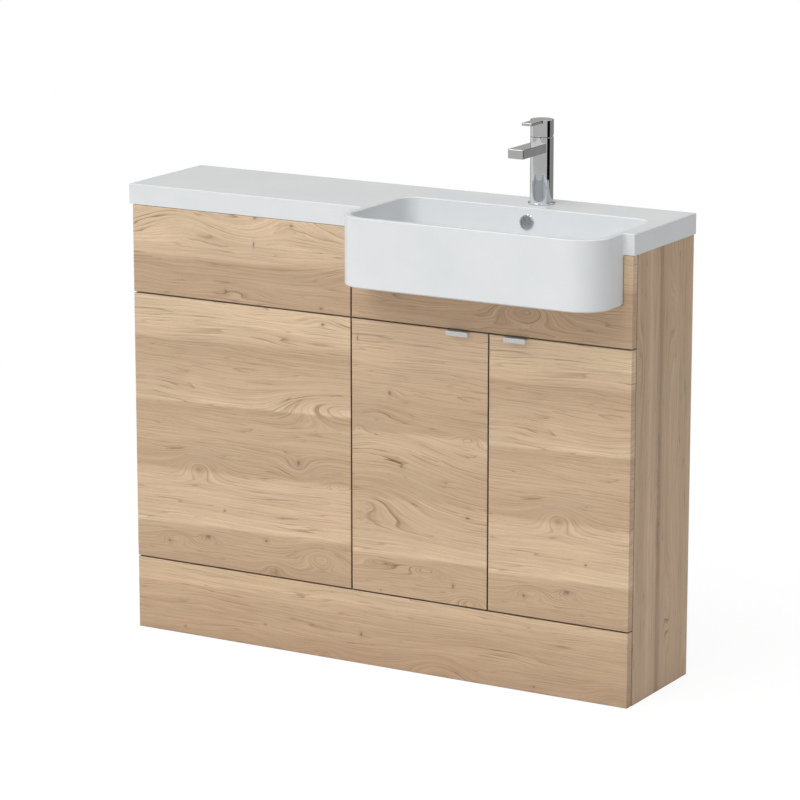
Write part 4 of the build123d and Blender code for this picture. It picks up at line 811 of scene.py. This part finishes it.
def grow(name, tree, sockets, points, axes, values, body, replaced):
    """Runs a geometry tree on points, keeps the plain mesh, and lets it stand for its CAD node."""
    seeds = bpy.data.meshes.new(name + "_points")
    seeds.from_pydata([tuple(point) for point in points], [], [])
    held = seeds.attributes.new("axis", "FLOAT_VECTOR", "POINT")
    held.data.foreach_set("vector", np.array(axes, np.float32).ravel())
    piece = bpy.data.objects.new(name, seeds)
    bpy.context.collection.objects.link(piece)
    modifier = piece.modifiers.new("grown", "NODES")
    modifier.node_group = tree
    for label, value in values.items():
        modifier[sockets[label]] = value
    bpy.context.view_layer.update()
    seen = piece.evaluated_get(bpy.context.evaluated_depsgraph_get())
    mesh = bpy.data.meshes.new_from_object(seen)
    piece.modifiers.clear()
    piece.data = mesh
    mesh.name = name
    mesh.validate()
    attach(piece, body)
    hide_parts(replaced)
    return piece


class UNIT_OT_screws(bpy.types.Operator):
    """Turn the plain screws of the fronts and the doors into threaded cross-head screws"""
    bl_idname = "unit.screws"
    bl_label = "Cross-head screws"

    def execute(self, context):
        tree, sockets = screw_tree()
        finish = bpy.data.materials["steel, bright zinc plated"]
        bodies = {n: o["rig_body"] for n, o in frame["nodes"].items()}
        for name in ("front_panel_screws", "left_door_screws", "right_door_screws"):
            seats = [seat_of(corners) for corners in islands(name)]
            _, _, length, head, shank = seats[0]
            values = {"Head radius": head, "Head height": HEAD_HEIGHT * head, "Shank radius": shank,
                      "Length": length, "Recess width": CROSS_WIDTH * head,
                      "Turns": round(length / THREAD_PITCH), "Finish": finish}
            points = [seat[0] + seat[1] * HEAD_HEIGHT / 2 * head for seat in seats]
            piece = grow("threaded_" + name, tree, sockets, points, [seat[1] for seat in seats], values,
                         bodies[name], name)
            if not piece.data.polygons:
                raise RuntimeError(f"{name} grew no screws")
        return {"FINISHED"}


class UNIT_PT_panel(bpy.types.Panel):
    """Lists the settings and the operators of the scene"""
    bl_idname = "UNIT_PT_panel"
    bl_label = "Bathroom unit"
    bl_space_type = "VIEW_3D"
    bl_region_type = "UI"
    bl_category = "Unit"

    def draw(self, context):
        column = self.layout.column()
        for operator in OPERATORS:
            column.operator(operator.bl_idname)
        stage, oak = context.scene.unit_stage, context.scene.unit_oak
        for group, names in ((stage, ("key_strength", "fill_strength", "ambient", "lens", "floor_radius")),
                             (oak, ("ring_pitch", "figure"))):
            for name in names:
                column.prop(group, name)


OPERATORS = (UNIT_OT_stage, UNIT_OT_oak_boards, UNIT_OT_inner_boards, UNIT_OT_basin_top, UNIT_OT_chrome,
             UNIT_OT_fittings, UNIT_OT_screws)
CLASSES = (UnitStageSettings, UnitOakSettings) + OPERATORS + (UNIT_PT_panel,)


def register():
    """Adds the settings, operators and panel to Blender."""
    for each in CLASSES:
        bpy.utils.register_class(each)
    bpy.types.Scene.unit_stage = bpy.props.PointerProperty(type=UnitStageSettings)
    bpy.types.Scene.unit_oak = bpy.props.PointerProperty(type=UnitOakSettings)


def unregister():
    """Takes them out again."""
    del bpy.types.Scene.unit_oak
    del bpy.types.Scene.unit_stage
    for each in reversed(CLASSES):
        bpy.utils.unregister_class(each)


def main():
    """Builds the scene in order."""
    register()
    bpy.ops.unit.stage()
    bpy.ops.unit.oak_boards()
    bpy.ops.unit.inner_boards()
    bpy.ops.unit.basin_top()
    bpy.ops.unit.chrome()
    bpy.ops.unit.fittings()
    bpy.ops.unit.screws()


if __name__ == "__main__":
    main()
